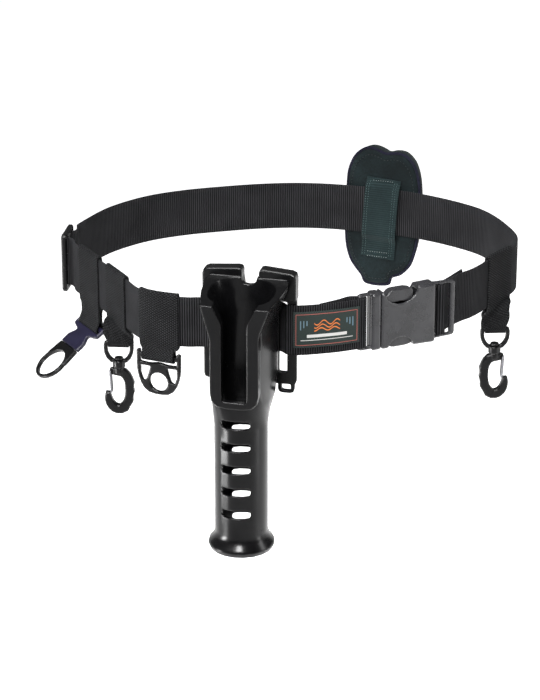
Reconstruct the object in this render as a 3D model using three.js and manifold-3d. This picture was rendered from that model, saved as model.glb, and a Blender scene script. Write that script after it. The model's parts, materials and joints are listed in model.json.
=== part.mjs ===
// Fishing fighting belt: a webbing waist belt with a rod-butt holder, side-release buckle,
// hanging straps with swivel snap hooks, a D-ring and a bottle clip, and a padded pouch behind.
// Millimetres, +Z up, the front of the belt faces -Y.
// The origin is the centre of the waist loop, at half the webbing's width.
import * as THREE from 'three';
import { mergeVertices } from 'three/addons/utils/BufferGeometryUtils.js';
import Module from 'manifold-3d';

const wasm = await Module();
wasm.setup();

// Driving dimensions
const WEBBING_WIDTH = 50;
const WEBBING_THICKNESS = 1.8;
const LOOP_HALF_WIDTH = 228;
const LOOP_HALF_DEPTH = 178;
const CLEARANCE = 0.4;            // running gap between webbing and what it passes
const SEAT_GAP = 0.3;             // gap between pieces that touch on the real belt
const STRAP_WIDTH = 42;           // hanging straps
const STRAP_THICKNESS = 1.6;
const RING_BAR = 4;               // bar of each ring that hangs in a strap's fold
const BUCKLE_LENGTH = 104;
const BUCKLE_HEIGHT = 60;
const BUCKLE_THICKNESS = 15;
const BUCKLE_WALL = 2.4;
const BUCKLE_BAR_RADIUS = 2.5;
const BUCKLE_TURN = 25.5;         // degrees, the buckle follows the loop's front right corner
const BUCKLE_TAIL = 43;
const FEMALE_TAIL = 34;
const HOLDER_TURN = -13;          // degrees, the rod holder faces a little to the left
const HOLDER_REACH = 38;          // tube axis to the middle of the back plate
const TUBE_RADIUS = 25.5;
const TUBE_WALL = 2.5;
const TUBE_BOTTOM = -211;
const LIP_RADIUS = 32;
const PLATE_THICKNESS = 4;
const PLATE_HALF_WIDTH = 45;
const PLATE_BOTTOM = -56;
const TAB_BOTTOM = -65;
const WING_TOP = 59;
const WING_BOTTOM = 29;
const WING_THICKNESS = 13;
const WING_WALL = 2.5;
const HOLDER_SIDES = 20;
const NOTCH_WIDTH = 14;
const NOTCH_FLARE = 2.5;          // the notch is this much wider at the top of its right side
const NOTCH_BOTTOM = 43;
const BELT_SLOT_INNER = 28;       // the belt dives through the plate between these two
const BELT_SLOT_OUTER = 36;
const FRAME_HALF_WIDTH = 23.3;
const FRAME_FRONT = 28;
const FRAME_BOTTOM = -60;
const RIM_FRONT = 41;             // the funnel's rim slopes from its front up to the wings
const RIM_BACK = 49;
const MOUTH_WIDTH = 24.6;
const MOUTH_BOTTOM = -53;
const VENT_COUNT = 5;
const VENT_TOP = -73;
const VENT_HEIGHT = 8;
const VENT_PITCH = 23;
const VENT_WIDTH = 28;
const POUCH_WIDTH = 82;
const POUCH_HEIGHT = 152;
const POUCH_DEPTH = 27;
const POUCH_MIDDLE = -7.5;
const KEEPER_WIDTH = 37;
const KEEPER_TILT = 4;            // degrees, the pouch hangs a little askew
const KEEPER_TOP = 36;
const KEEPER_BOTTOM = -53;
const SLIDER_LENGTH = 38;
const SLIDER_HEIGHT = 60;
const SLIDER_THICKNESS = 5.4;
const SLIDER_BAR = 5;
const LABEL_LENGTH = 65;
const LABEL_HEIGHT = 36;
const LABEL_THICKNESS = 0.8;
const EYE_WIDTH = 29.5;
const EYE_HEIGHT = 23.5;
const SWIVEL_RADIUS = 6.2;
const SWIVEL_HEIGHT = 7;
const STEM_RADIUS = 2.4;
const STEM_HEAD = 4.2;
const HOOK_WIDTH = 29;
const HOOK_HEIGHT = 49;
const HOOK_THICKNESS = 7;
const GATE_WIRE = 1.1;
const D_WIDTH = 46;
const D_FOLD = 34;                // the strap's width where it folds round the D-ring
const D_HEIGHT = 40.5;
const D_EAR = 3.4;                // the ears stand this far above the D-ring's bar
const D_THICKNESS = 4;
const CLIP_WIDTH = 50;
const CLIP_FOLD = 40;             // the strap's width where it folds round the bottle clip
const CLIP_THICKNESS = 4;
const CLIP_SPLIT = 31;            // bar to the joint line between the clip and its ring
const RING_DISTANCE = 55;         // bar to the middle of the bottle ring
const RING_RADIUS = 19;
const RING_WALL = 3;
const CLIP_LIFT = 54;             // degrees, the clip sticks out from straight down

// Plan of the free loop, from behind the buckle round the back to the rod holder, as shares
// of the loop's half width and half depth.
const LOOP_ROWS = [
  { x: 0.715, y: -0.551 }, { x: 0.776, y: -0.472 }, { x: 0.886, y: -0.247 }, { x: 0.962, y: -0.11 },
  { x: 0.987, y: 0.02 }, { x: 0.975, y: 0.14 }, { x: 0.947, y: 0.26 }, { x: 0.908, y: 0.39 },
  { x: 0.833, y: 0.545 }, { x: 0.58, y: 0.795 }, { x: 0.25, y: 0.948 }, { x: 0.048, y: 0.984 },
  { x: -0.14, y: 0.966 }, { x: -0.33, y: 0.91 }, { x: -0.5, y: 0.842 }, { x: -0.66, y: 0.735 },
  { x: -0.815, y: 0.542 }, { x: -0.91, y: 0.33 }, { x: -0.957, y: 0.19 }, { x: -0.983, y: 0.01 },
  { x: -0.93, y: -0.112 }, { x: -0.868, y: -0.247 }, { x: -0.763, y: -0.494 }, { x: -0.697, y: -0.652 },
  { x: -0.61, y: -0.845 }, { x: -0.5, y: -0.915 }, { x: -0.43, y: -0.935 },
];

// What sits on the loop, as shares of the free loop's length from the buckle.
const RIGHT_HOOK_AT = 0.07;
const POUCH_AT = 0.349;
const SLIDER_AT = 0.763;
const RING_STRAP_AT = 0.829;
const LEFT_HOOK_AT = 0.893;
const D_STRAP_AT = 0.97;

// Places in plan, as shares of the loop's half width and half depth.
const HOLDER_AT = { x: -0.205, y: -1.183 };
const BUCKLE_AT = { x: 0.478, y: -0.815 };

// Heights of the bars that the hanging straps fold round
const RING_BAR_HEIGHT = -50;
const D_BAR_HEIGHT = -38.5;
const LEFT_EYE_HEIGHT = -47.5;
const RIGHT_EYE_HEIGHT = -53.5;

const radians = THREE.MathUtils.degToRad;
const half = WEBBING_WIDTH / 2;

// Materials
function material(color, roughness, metalness = 0) {
  return new THREE.MeshStandardMaterial({ color, roughness, metalness });
}
const webbingCloth = material(0x232326, 0.9);
const strapCloth = material(0x2c2c2f, 0.92);
const pouchCloth = material(0x16202a, 0.85);
const keeperCloth = material(0x2c403f, 0.85);
const labelCloth = material(0x2a2f2e, 0.7);
const holderPlastic = material(0x1c1d1f, 0.4);
const bucklePlastic = material(0x3c3d42, 0.45);
const hardwarePlastic = material(0x1b1b1d, 0.5);
const clipPlastic = material(0x1f2036, 0.45);
const gateSteel = material(0x8b8d90, 0.35, 1);

// Solids
function toSolid(geometry) {
  const bare = geometry.clone();
  bare.deleteAttribute('normal');
  bare.deleteAttribute('uv');
  const merged = mergeVertices(bare, 1e-4);
  return new wasm.Manifold(new wasm.Mesh({
    numProp: 3,
    vertProperties: new Float32Array(merged.attributes.position.array),
    triVerts: new Uint32Array(merged.index.array),
  }));
}

function toGeometry(solid) {
  const mesh = solid.getMesh();
  const geometry = new THREE.BufferGeometry();
  geometry.setAttribute('position', new THREE.BufferAttribute(mesh.vertProperties, 3));
  geometry.setIndex(new THREE.BufferAttribute(mesh.triVerts, 1));
  geometry.computeVertexNormals();
  return geometry;
}

function join(...geometries) {
  return toGeometry(geometries.map(toSolid).reduce((whole, part) => whole.add(part)));
}

function cut(geometry, ...tools) {
  return toGeometry(tools.map(toSolid).reduce((whole, tool) => whole.subtract(tool), toSolid(geometry)));
}

// A body through closed rings of equally many points, with a flat fan at each end.
function loft(rings) {
  const count = rings[0].length;
  const points = rings.flat();
  const faces = [];
  for (let r = 0; r + 1 < rings.length; r += 1) {
    for (let i = 0; i < count; i += 1) {
      const a = r * count + i;
      const b = r * count + (i + 1) % count;
      faces.push(a, b, a + count, b, b + count, a + count);
    }
  }
  for (const [ring, turn] of [[0, 1], [rings.length - 1, -1]]) {
    const middle = new THREE.Vector3();
    rings[ring].forEach((p) => middle.addScaledVector(p, 1 / count));
    const centre = points.push(middle) - 1;
    for (let i = 0; i < count; i += 1) {
      const a = ring * count + i;
      const b = ring * count + (i + 1) % count;
      faces.push(...(turn > 0 ? [centre, b, a] : [centre, a, b]));
    }
  }
  const geometry = new THREE.BufferGeometry().setFromPoints(points);
  geometry.setIndex(faces);
  return geometry;
}

// A level ring: an oval whose squareness runs from 2, an ellipse, to about 8, a rounded box.
// It is wider at the back than at the front where the two half widths differ.
function ovalRing({ z, front, back, reach, rear, square = 2, turn = 0, x = 0, y = 0 }, count = 28) {
  return Array.from({ length: count }, (_, i) => {
    const angle = (i / count) * Math.PI * 2;
    const c = Math.cos(angle);
    const s = Math.sin(angle);
    const along = Math.sign(s) * Math.abs(s) ** (2 / square);
    const depth = along > 0 ? along * rear : along * reach;
    const width = THREE.MathUtils.lerp(front, back, (depth + reach) / (rear + reach));
    const across = width * Math.sign(c) * Math.abs(c) ** (2 / square);
    const point = new THREE.Vector3(across, depth, 0).applyAxisAngle(new THREE.Vector3(0, 0, 1), turn);
    return point.add(new THREE.Vector3(x, y, z));
  });
}

// A polygon with rounded corners. Each row is x, y and, where it differs, its own radius.
function rounded(rows, radius, Kind = THREE.Shape) {
  const path = new Kind();
  rows.forEach(([x, y, own = radius], i) => {
    const here = new THREE.Vector2(x, y);
    const before = new THREE.Vector2(...rows[(i + rows.length - 1) % rows.length].slice(0, 2));
    const after = new THREE.Vector2(...rows[(i + 1) % rows.length].slice(0, 2));
    const inward = before.sub(here);
    const onward = after.sub(here);
    const r = Math.min(own, inward.length() / 2.01, onward.length() / 2.01);
    const enter = here.clone().addScaledVector(inward.normalize(), r);
    const leave = here.clone().addScaledVector(onward.normalize(), r);
    if (i === 0) path.moveTo(enter.x, enter.y);
    else path.lineTo(enter.x, enter.y);
    path.quadraticCurveTo(here.x, here.y, leave.x, leave.y);
  });
  path.closePath();
  return path;
}

function box(left, right, bottom, top) {
  return [[left, bottom], [right, bottom], [right, top], [left, top]];
}

function round(x, y, radius, sides, Kind = THREE.Shape) {
  return new Kind(Array.from({ length: sides }, (_, i) => {
    const angle = (i / sides) * Math.PI * 2;
    return new THREE.Vector2(x + radius * Math.cos(angle), y + radius * Math.sin(angle));
  }));
}

// A plate that stands in the XZ plane, its middle on Y = 0 unless told otherwise.
function plate(shape, thickness, y = 0, bevel = 0, curveSegments = 5) {
  const geometry = new THREE.ExtrudeGeometry(shape, {
    depth: thickness - 2 * bevel,
    bevelEnabled: bevel > 0,
    bevelThickness: bevel,
    bevelSize: bevel,
    bevelOffset: -bevel,
    bevelSegments: 1,
    curveSegments,
  });
  return geometry.translate(0, 0, bevel - thickness / 2).rotateX(Math.PI / 2).translate(0, y, 0);
}

// A prism along X from a shape whose own x is Y and whose own y is Z.
function prismX(shape, length, curveSegments = 6) {
  const geometry = new THREE.ExtrudeGeometry(shape, { depth: length, bevelEnabled: false, curveSegments });
  const turn = new THREE.Matrix4().makeBasis(
    new THREE.Vector3(0, 1, 0),
    new THREE.Vector3(0, 0, 1),
    new THREE.Vector3(1, 0, 0),
  );
  return geometry.translate(0, 0, -length / 2).applyMatrix4(turn);
}

function post(radius, bottom, top, sides = 16) {
  const geometry = new THREE.CylinderGeometry(radius, radius, top - bottom, sides);
  return geometry.rotateX(Math.PI / 2).translate(0, 0, (top + bottom) / 2);
}

function lathe(profile, sides = 32) {
  const points = profile.map(([r, z]) => new THREE.Vector2(r, z));
  return new THREE.LatheGeometry(points, sides).rotateX(Math.PI / 2);
}

// The free loop
const loop = new THREE.CatmullRomCurve3(
  LOOP_ROWS.map(({ x, y }) => new THREE.Vector3(x * LOOP_HALF_WIDTH, y * LOOP_HALF_DEPTH, 0)),
  false,
  'centripetal',
);
loop.arcLengthDivisions = 600;
const loopLength = loop.getLength();

function onLoop(share, outward = 0) {
  const point = loop.getPointAt(share);
  const along = loop.getTangentAt(share);
  return point.add(new THREE.Vector3(along.y, -along.x, 0).multiplyScalar(outward));
}

// Turn about Z that takes local +X to the loop's direction, with local +Y inward.
function loopTurn(share) {
  const along = loop.getTangentAt(share);
  return Math.atan2(along.y, along.x);
}

// A frame in plan: local x runs along the piece, local y points to its back.
function frameAt(place, degrees) {
  const turn = radians(degrees);
  const origin = new THREE.Vector3(place.x * LOOP_HALF_WIDTH, place.y * LOOP_HALF_DEPTH, 0);
  return {
    origin,
    turn,
    out: (x, y) => new THREE.Vector3(x, y, 0).applyAxisAngle(new THREE.Vector3(0, 0, 1), turn).add(origin),
  };
}
const holderFrame = frameAt(HOLDER_AT, HOLDER_TURN);
const buckleFrame = frameAt(BUCKLE_AT, BUCKLE_TURN);

// The belt: one length of webbing, laid out in plan as a line and given its thickness.
const layer = WEBBING_THICKNESS / 2 + CLEARANCE;      // webbing's middle to a face that it passes
const sliderOffset = SLIDER_THICKNESS / 2 + layer + 0.2;
const sliderReach = SLIDER_LENGTH / 2;
// The weave through the slider: distance from its middle and outward offset of the webbing.
const SLIDER_WEAVE = [
  { along: -sliderReach - 12, outward: 0 },
  { along: -sliderReach - 1, outward: -sliderOffset },
  { along: -sliderReach + SLIDER_BAR + 0.3, outward: -sliderOffset },
  { along: -SLIDER_BAR / 2 - 0.3, outward: sliderOffset },
  { along: SLIDER_BAR / 2 + 0.3, outward: sliderOffset },
  { along: sliderReach - SLIDER_BAR - 0.3, outward: -sliderOffset },
  { along: sliderReach + 1, outward: -sliderOffset },
  { along: sliderReach + 12, outward: 0 },
];
const buckleHalf = BUCKLE_LENGTH / 2;
const maleBar = -buckleHalf + 4.5;                    // middle of the male part's bar
const femaleBar = buckleHalf - 15;                    // middle of the female part's folded bar
const barBevel = BUCKLE_BAR_RADIUS * 0.48;
const foldRadius = BUCKLE_BAR_RADIUS * 1.15 + layer;   // webbing's middle round a buckle's bar

function arc(x, y, radius, from, to, steps) {
  return Array.from({ length: steps + 1 }, (_, i) => {
    const angle = radians(from + ((to - from) * i) / steps);
    return [x + radius * Math.cos(angle), y + radius * Math.sin(angle)];
  });
}

function sampled(points, steps) {
  return new THREE.CatmullRomCurve3(points, false, 'centripetal').getPoints(steps);
}

function labelLine() {
  const front = HOLDER_REACH - PLATE_THICKNESS / 2 - layer;
  const start = holderFrame.out(BELT_SLOT_OUTER + 1, front);
  const edge = holderFrame.out(PLATE_HALF_WIDTH + 1, front);
  const end = buckleFrame.out(maleBar - 2, -foldRadius);
  const middle = edge.clone().lerp(end, 0.55).add(new THREE.Vector3(0.8, -2.4, 0));
  return sampled([start, edge, middle, end], 12);
}
const labelRun = labelLine();

// The free loop as the webbing follows it: points and how far along the loop each one is.
function walkLoop(steps) {
  const sliderMiddle = SLIDER_AT * loopLength;
  const places = SLIDER_WEAVE.map(({ along, outward }) => ({ distance: sliderMiddle + along, outward }));
  for (let i = 0; i <= steps; i += 1) {
    const distance = (i / steps) * loopLength;
    if (Math.abs(distance - sliderMiddle) > sliderReach + 14) places.push({ distance, outward: 0 });
  }
  places.sort((a, b) => a.distance - b.distance);
  return places.map(({ distance, outward }) => ({ distance, point: onLoop(distance / loopLength, outward) }));
}
const freePlaces = walkLoop(66);

// The webbing's own line between two distances along the loop.
function beltBetween(from, to) {
  const at = (distance) => {
    const next = freePlaces.findIndex((place) => place.distance > distance);
    const a = freePlaces[next - 1];
    const b = freePlaces[next];
    return a.point.clone().lerp(b.point, (distance - a.distance) / (b.distance - a.distance));
  };
  const inside = freePlaces.filter(({ distance }) => distance > from + 0.5 && distance < to - 0.5);
  return [at(from), ...inside.map(({ point }) => point), at(to)];
}

function beltLine() {
  const slack = FEMALE_TAIL;
  const entry = buckleFrame.out(buckleHalf + 17, 19);
  const tail = [
    buckleFrame.out(femaleBar + 9 + slack * 0.87, 9.5 + slack * 0.56),
    buckleFrame.out(femaleBar + 9, 9.5),
    buckleFrame.out(femaleBar + 2, foldRadius + 2.2),
    buckleFrame.out(femaleBar - 2.4, foldRadius + 0.3),
  ];
  const femaleFold = arc(femaleBar, 0, foldRadius, -200, -30, 8).map(([x, y]) => buckleFrame.out(x, y));
  const rise = buckleFrame.out(femaleBar + 8, 5.5);
  const front = HOLDER_REACH - PLATE_THICKNESS / 2 - layer;
  const behind = HOLDER_REACH + PLATE_THICKNESS / 2 + layer;
  const crossing = [
    [-PLATE_HALF_WIDTH - 2, front], [-BELT_SLOT_OUTER + 0.2, front], [-BELT_SLOT_INNER - 0.2, behind],
    [BELT_SLOT_INNER + 0.2, behind], [BELT_SLOT_OUTER - 0.2, front],
  ].map(([x, y]) => holderFrame.out(x, y));
  const maleFold = arc(maleBar, 0, foldRadius, -90, 90, 8).map(([x, y]) => buckleFrame.out(x, y));
  const back = [
    buckleFrame.out(maleBar - 9, foldRadius + 3.5),
    buckleFrame.out(maleBar - 20, foldRadius + 1),
    buckleFrame.out(maleBar - BUCKLE_TAIL, 1.6),
  ];
  const free = freePlaces.slice(1).map(({ point }) => point);
  return [...tail, ...femaleFold, rise, entry, ...free, ...crossing, ...labelRun, ...maleFold, ...back];
}

// A line parallel to a line in plan, to its left by the given distance.
function parallel(line, distance) {
  return line.map((point, i) => {
    const before = line[Math.max(i - 1, 0)];
    const after = line[Math.min(i + 1, line.length - 1)];
    const u = point.clone().sub(before).normalize();
    const v = after.clone().sub(point).normalize();
    const along = u.clone().add(v).normalize();
    const stretch = 1 / Math.max(0.6, Math.abs(along.dot(i ? u : v)));
    return new THREE.Vector3(-along.y, along.x, 0).multiplyScalar(distance * stretch).add(point);
  });
}

// The stretch of a line between two distances along it.
function stretchOf(line, from, to) {
  const kept = [];
  let walked = 0;
  for (let i = 0; i + 1 < line.length; i += 1) {
    const length = line[i].distanceTo(line[i + 1]);
    const enter = Math.max((from - walked) / length, 0);
    const leave = Math.min((to - walked) / length, 1);
    if (enter < leave) {
      if (!kept.length) kept.push(line[i].clone().lerp(line[i + 1], enter));
      kept.push(line[i].clone().lerp(line[i + 1], leave));
    }
    walked += length;
  }
  return kept;
}

// The outline of a ribbon of the given thickness along a line in plan.
function ribbon(line, thickness) {
  const right = parallel(line, -thickness / 2);
  const left = parallel(line, thickness / 2).reverse();
  return new THREE.Shape([...right, ...left].map(({ x, y }) => new THREE.Vector2(x, y)));
}

function upright(shape, bottom, top) {
  const geometry = new THREE.ExtrudeGeometry(shape, { depth: top - bottom, bevelEnabled: false });
  return geometry.translate(0, 0, bottom);
}

function webbingBelt() {
  return upright(ribbon(beltLine(), WEBBING_THICKNESS), -half, half);
}

function labelPatch() {
  const lengths = labelRun.slice(1).map((point, i) => point.distanceTo(labelRun[i]));
  const start = (lengths.reduce((sum, length) => sum + length) - LABEL_LENGTH) * 0.8;
  const outward = WEBBING_THICKNESS / 2 + SEAT_GAP + LABEL_THICKNESS / 2;
  const run = stretchOf(parallel(labelRun, -outward), start, start + LABEL_LENGTH);
  return upright(ribbon(run, LABEL_THICKNESS), -LABEL_HEIGHT / 2 + 0.8, LABEL_HEIGHT / 2 + 0.8);
}

// A hanging strap: a band sewn round the belt, narrowing to a fold that holds a ring's bar.
const bandInner = WEBBING_THICKNESS / 2 + CLEARANCE;
const bandOuter = bandInner + STRAP_THICKNESS;
const foldHole = RING_BAR * 0.71 + CLEARANCE;
const foldOuter = foldHole + STRAP_THICKNESS;

function bandRoundBelt(share) {
  const middle = share * loopLength;
  const line = beltBetween(middle - STRAP_WIDTH / 2, middle + STRAP_WIDTH / 2);
  const high = half + CLEARANCE;
  const body = upright(ribbon(line, 2 * bandOuter), -high - 6, high + STRAP_THICKNESS);
  const longer = beltBetween(middle - STRAP_WIDTH / 2 - 3, middle + STRAP_WIDTH / 2 + 3);
  return cut(body, upright(ribbon(longer, 2 * bandInner), -high, high));
}

// Rows down the strap, from the belt to the top of its fold: share of the way down, share of
// the narrowing to the fold's width, half thickness in strap thicknesses, share of the turn.
const STRAIGHT_ROWS = [
  { down: 0, narrow: 0, thick: 1.1, turn: 0 }, { down: 0.5, narrow: 0.6, thick: 1.1, turn: 0 },
  { down: 0.8, narrow: 1, thick: 1.3, turn: 0 },
];
const TWISTED_ROWS = [
  { down: 0, narrow: 0, thick: 1.1, turn: 0 }, { down: 0.3, narrow: 0.15, thick: 1.5, turn: 0.15 },
  { down: 0.62, narrow: 0.3, thick: 2.2, turn: 0.55 }, { down: 0.9, narrow: 0.6, thick: 2.6, turn: 0.9 },
];
// Rows round the fold: height above the bar and half thickness, both in outer radii of the fold.
const FOLD_ROWS = [
  { above: 0.8, thick: 0.66 }, { above: 0.45, thick: 0.9 }, { above: 0, thick: 1 },
  { above: -0.45, thick: 0.9 }, { above: -0.8, thick: 0.62 }, { above: -1, thick: 0.2 },
];

function hangingStrap({ at, bar, rows, turn, foldWidth }) {
  const centre = onLoop(at);
  const beltTurn = loopTurn(at);
  const top = -half - CLEARANCE - 3;
  const foldTop = bar + foldOuter;
  const swing = THREE.MathUtils.euclideanModulo(turn - beltTurn + Math.PI / 2, Math.PI) - Math.PI / 2;
  const end = beltTurn + swing;
  const ring = (z, width, thick, angle) => ovalRing({
    z, front: width, back: width, reach: thick, rear: thick, square: 5, turn: angle, x: centre.x, y: centre.y,
  }, 12);
  const rings = [
    ...rows.map((row) => ring(
      THREE.MathUtils.lerp(top, foldTop, row.down),
      THREE.MathUtils.lerp(STRAP_WIDTH, foldWidth, row.narrow) / 2,
      STRAP_THICKNESS * row.thick,
      beltTurn + swing * row.turn,
    )),
    ...FOLD_ROWS.map((row) => ring(bar + foldOuter * row.above, foldWidth / 2, foldOuter * row.thick, end)),
  ];
  const hole = prismX(round(0, 0, foldHole, 10), 2 * STRAP_WIDTH);
  hole.rotateZ(end).translate(centre.x, centre.y, bar);
  return cut(join(bandRoundBelt(at), loft(rings.reverse())), hole);
}

// Rod holder, in its own frame: the tube's axis is Z, local +Y is its back.
const BODY_ROWS = [
  { z: -84, front: 1, back: 1, reach: 1, rear: 1, square: 2 },
  { z: -70, front: 0.99, back: 1.08, reach: 1, rear: 1.2, square: 2.6 },
  { z: -58, front: 0.95, back: 1.2, reach: 1, rear: 1.41, square: 4 },
  { z: -40, front: 0.9, back: 1.27, reach: 1, rear: 1.41, square: 5 },
  { z: 16, front: 0.9, back: 1.27, reach: 1, rear: 1.41, square: 5 },
  { z: 30, front: 1.06, back: 1.47, reach: 1.02, rear: 1.41, square: 5 },
  { z: 42, front: 1.32, back: 1.63, reach: 1.06, rear: 1.41, square: 5 },
  { z: 56, front: 1.47, back: 1.7, reach: 1.1, rear: 1.41, square: 5 },
];
const HOLLOW_ROWS = [
  { z: -90, front: 0.9, back: 0.9, reach: 0.9, rear: 0.9, square: 2 },
  { z: -66, front: 0.86, back: 0.9, reach: 0.88, rear: 0.95, square: 2.2 },
  { z: -48, front: 0.72, back: 0.98, reach: 0.86, rear: 1.2, square: 3 },
  { z: 16, front: 0.7, back: 0.92, reach: 0.86, rear: 1.2, square: 2.8 },
  { z: 28, front: 0.84, back: 1, reach: 0.88, rear: 1.2, square: 2.6 },
  { z: 40, front: 1.14, back: 1.16, reach: 0.9, rear: 1.22, square: 2.5 },
  { z: 60, front: 1.5, back: 1.45, reach: 1, rear: 1.26, square: 2.4 },
];

function holderRings(rows) {
  return rows.map(({ z, square, ...shares }) => {
    const sizes = Object.fromEntries(Object.entries(shares).map(([k, v]) => [k, v * TUBE_RADIUS]));
    return ovalRing({ z, square, ...sizes }, HOLDER_SIDES);
  });
}

function wingBlock(side) {
  const inner = side * (NOTCH_WIDTH / 2) + (side > 0 ? NOTCH_FLARE : 0);
  const outer = side * PLATE_HALF_WIDTH;
  const corners = [
    [inner - side * 3, WING_BOTTOM], [outer, WING_BOTTOM], [outer, WING_TOP - 3, 5], [inner, WING_TOP, 4],
    [inner, NOTCH_BOTTOM + 6],
  ];
  const inset = [
    [inner + side * WING_WALL, WING_BOTTOM + WING_WALL], [outer - side * WING_WALL, WING_BOTTOM + WING_WALL],
    [outer - side * WING_WALL, WING_TOP - 3 - WING_WALL, 3], [inner + side * WING_WALL, WING_TOP - WING_WALL, 3],
  ];
  const block = plate(rounded(corners, 1.5), WING_THICKNESS, HOLDER_REACH, 0.8, 2);
  const pocket = plate(rounded(inset, 1.5), WING_THICKNESS, HOLDER_REACH + WING_WALL, 0, 2);
  return cut(block, pocket);
}

function rodHolder() {
  const bore = TUBE_RADIUS - TUBE_WALL;
  const tube = lathe([
    [bore, TUBE_BOTTOM + 3], [bore + 3.5, TUBE_BOTTOM], [LIP_RADIUS - 1.5, TUBE_BOTTOM],
    [LIP_RADIUS, TUBE_BOTTOM + 4], [LIP_RADIUS - 0.8, TUBE_BOTTOM + 7.5], [TUBE_RADIUS + 2.2, TUBE_BOTTOM + 11],
    [TUBE_RADIUS, TUBE_BOTTOM + 18], [TUBE_RADIUS, BODY_ROWS[0].z + 0.5], [bore, BODY_ROWS[0].z + 0.5],
    [bore, TUBE_BOTTOM + 3],
  ], HOLDER_SIDES);
  const frameRows = [
    [-FRAME_HALF_WIDTH, FRAME_BOTTOM, 15], [FRAME_HALF_WIDTH, FRAME_BOTTOM, 15],
    [FRAME_HALF_WIDTH, 14, 4], [FRAME_HALF_WIDTH + 13.5, 50, 3],
    [-FRAME_HALF_WIDTH - 11.5, 50, 3], [-FRAME_HALF_WIDTH, 9, 4],
  ];
  const frameDepth = 14;
  const frame = plate(rounded(frameRows, 3), frameDepth, frameDepth / 2 - FRAME_FRONT, 0.8, 3);
  const slope = prismX(new THREE.Shape([
    new THREE.Vector2(HOLDER_REACH, RIM_BACK + 2), new THREE.Vector2(-FRAME_FRONT, RIM_FRONT),
    new THREE.Vector2(-2 * FRAME_FRONT, RIM_FRONT - 9), new THREE.Vector2(-2 * FRAME_FRONT, 2 * WING_TOP),
    new THREE.Vector2(HOLDER_REACH, 2 * WING_TOP),
  ]), 4 * PLATE_HALF_WIDTH);
  const shell = cut(join(loft(holderRings(BODY_ROWS)), frame), slope);
  const plateRows = [
    [-PLATE_HALF_WIDTH, PLATE_BOTTOM, 4], [PLATE_HALF_WIDTH, PLATE_BOTTOM, 4],
    [PLATE_HALF_WIDTH, WING_BOTTOM + 6], [-PLATE_HALF_WIDTH, WING_BOTTOM + 6],
  ];
  const lanyard = box(27, 43, TAB_BOTTOM, PLATE_BOTTOM + 4);
  const lanyardHole = box(30.5, 39.5, TAB_BOTTOM + 2.8, PLATE_BOTTOM + 1);
  const lanyardShape = rounded(lanyard, 4);
  lanyardShape.holes.push(rounded(lanyardHole, 2, THREE.Path));
  const web = join(
    shell,
    plate(rounded(plateRows, 2), PLATE_THICKNESS, HOLDER_REACH, 0, 2),
    plate(lanyardShape, PLATE_THICKNESS, HOLDER_REACH, 0, 2),
    wingBlock(-1),
    wingBlock(1),
  );
  const deep = WING_THICKNESS + 14;
  const slots = [-1, 1].map((side) => plate(rounded(box(
    Math.min(side * BELT_SLOT_INNER, side * BELT_SLOT_OUTER),
    Math.max(side * BELT_SLOT_INNER, side * BELT_SLOT_OUTER),
    -half - 19,
    half + 2,
  ), 1.5), deep, HOLDER_REACH + deep / 2 - PLATE_THICKNESS / 2 - 4, 0, 2));
  const notch = plate(rounded([
    [-NOTCH_WIDTH / 2, NOTCH_BOTTOM, 6], [NOTCH_WIDTH / 2, NOTCH_BOTTOM, 6],
    [NOTCH_WIDTH / 2 + NOTCH_FLARE, WING_TOP + 1], [NOTCH_WIDTH / 2 + NOTCH_FLARE, 2 * WING_TOP],
    [-NOTCH_WIDTH / 2, 2 * WING_TOP],
  ], 1), 4 * WING_THICKNESS, HOLDER_REACH, 0, 3);
  const mouth = plate(rounded([
    [-MOUTH_WIDTH / 2, MOUTH_BOTTOM, 4], [MOUTH_WIDTH / 2, MOUTH_BOTTOM, 4], [MOUTH_WIDTH / 2, 25, 4],
    [MOUTH_WIDTH / 2 + 14, 52], [-MOUTH_WIDTH / 2 - 14, 52], [-MOUTH_WIDTH / 2, 25, 4],
  ], 1), FRAME_FRONT + 5, -(FRAME_FRONT + 5) / 2 - 1, 0, 3);
  const vents = Array.from({ length: VENT_COUNT + 1 }, (_, i) => {
    const top = VENT_TOP - i * VENT_PITCH;
    const reach = i < VENT_COUNT ? 4 * TUBE_RADIUS : 2 * TUBE_RADIUS;
    const shift = i < VENT_COUNT ? 0 : TUBE_RADIUS;
    return plate(rounded(box(-VENT_WIDTH / 2, VENT_WIDTH / 2, top - VENT_HEIGHT, top), 2), reach, shift, 0, 1);
  });
  const hollow = loft(holderRings(HOLLOW_ROWS));
  const lowBore = post(bore, TUBE_BOTTOM - 1, HOLLOW_ROWS[0].z + 3, HOLDER_SIDES);
  return cut(join(cut(web, hollow), tube), lowBore, ...slots, notch, mouth, ...vents);
}

// Side-release buckle, in its own frame: local x runs along it, local +Y is its back.
const mouthEdge = -29;
const bodyEnd = 28.5;

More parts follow.
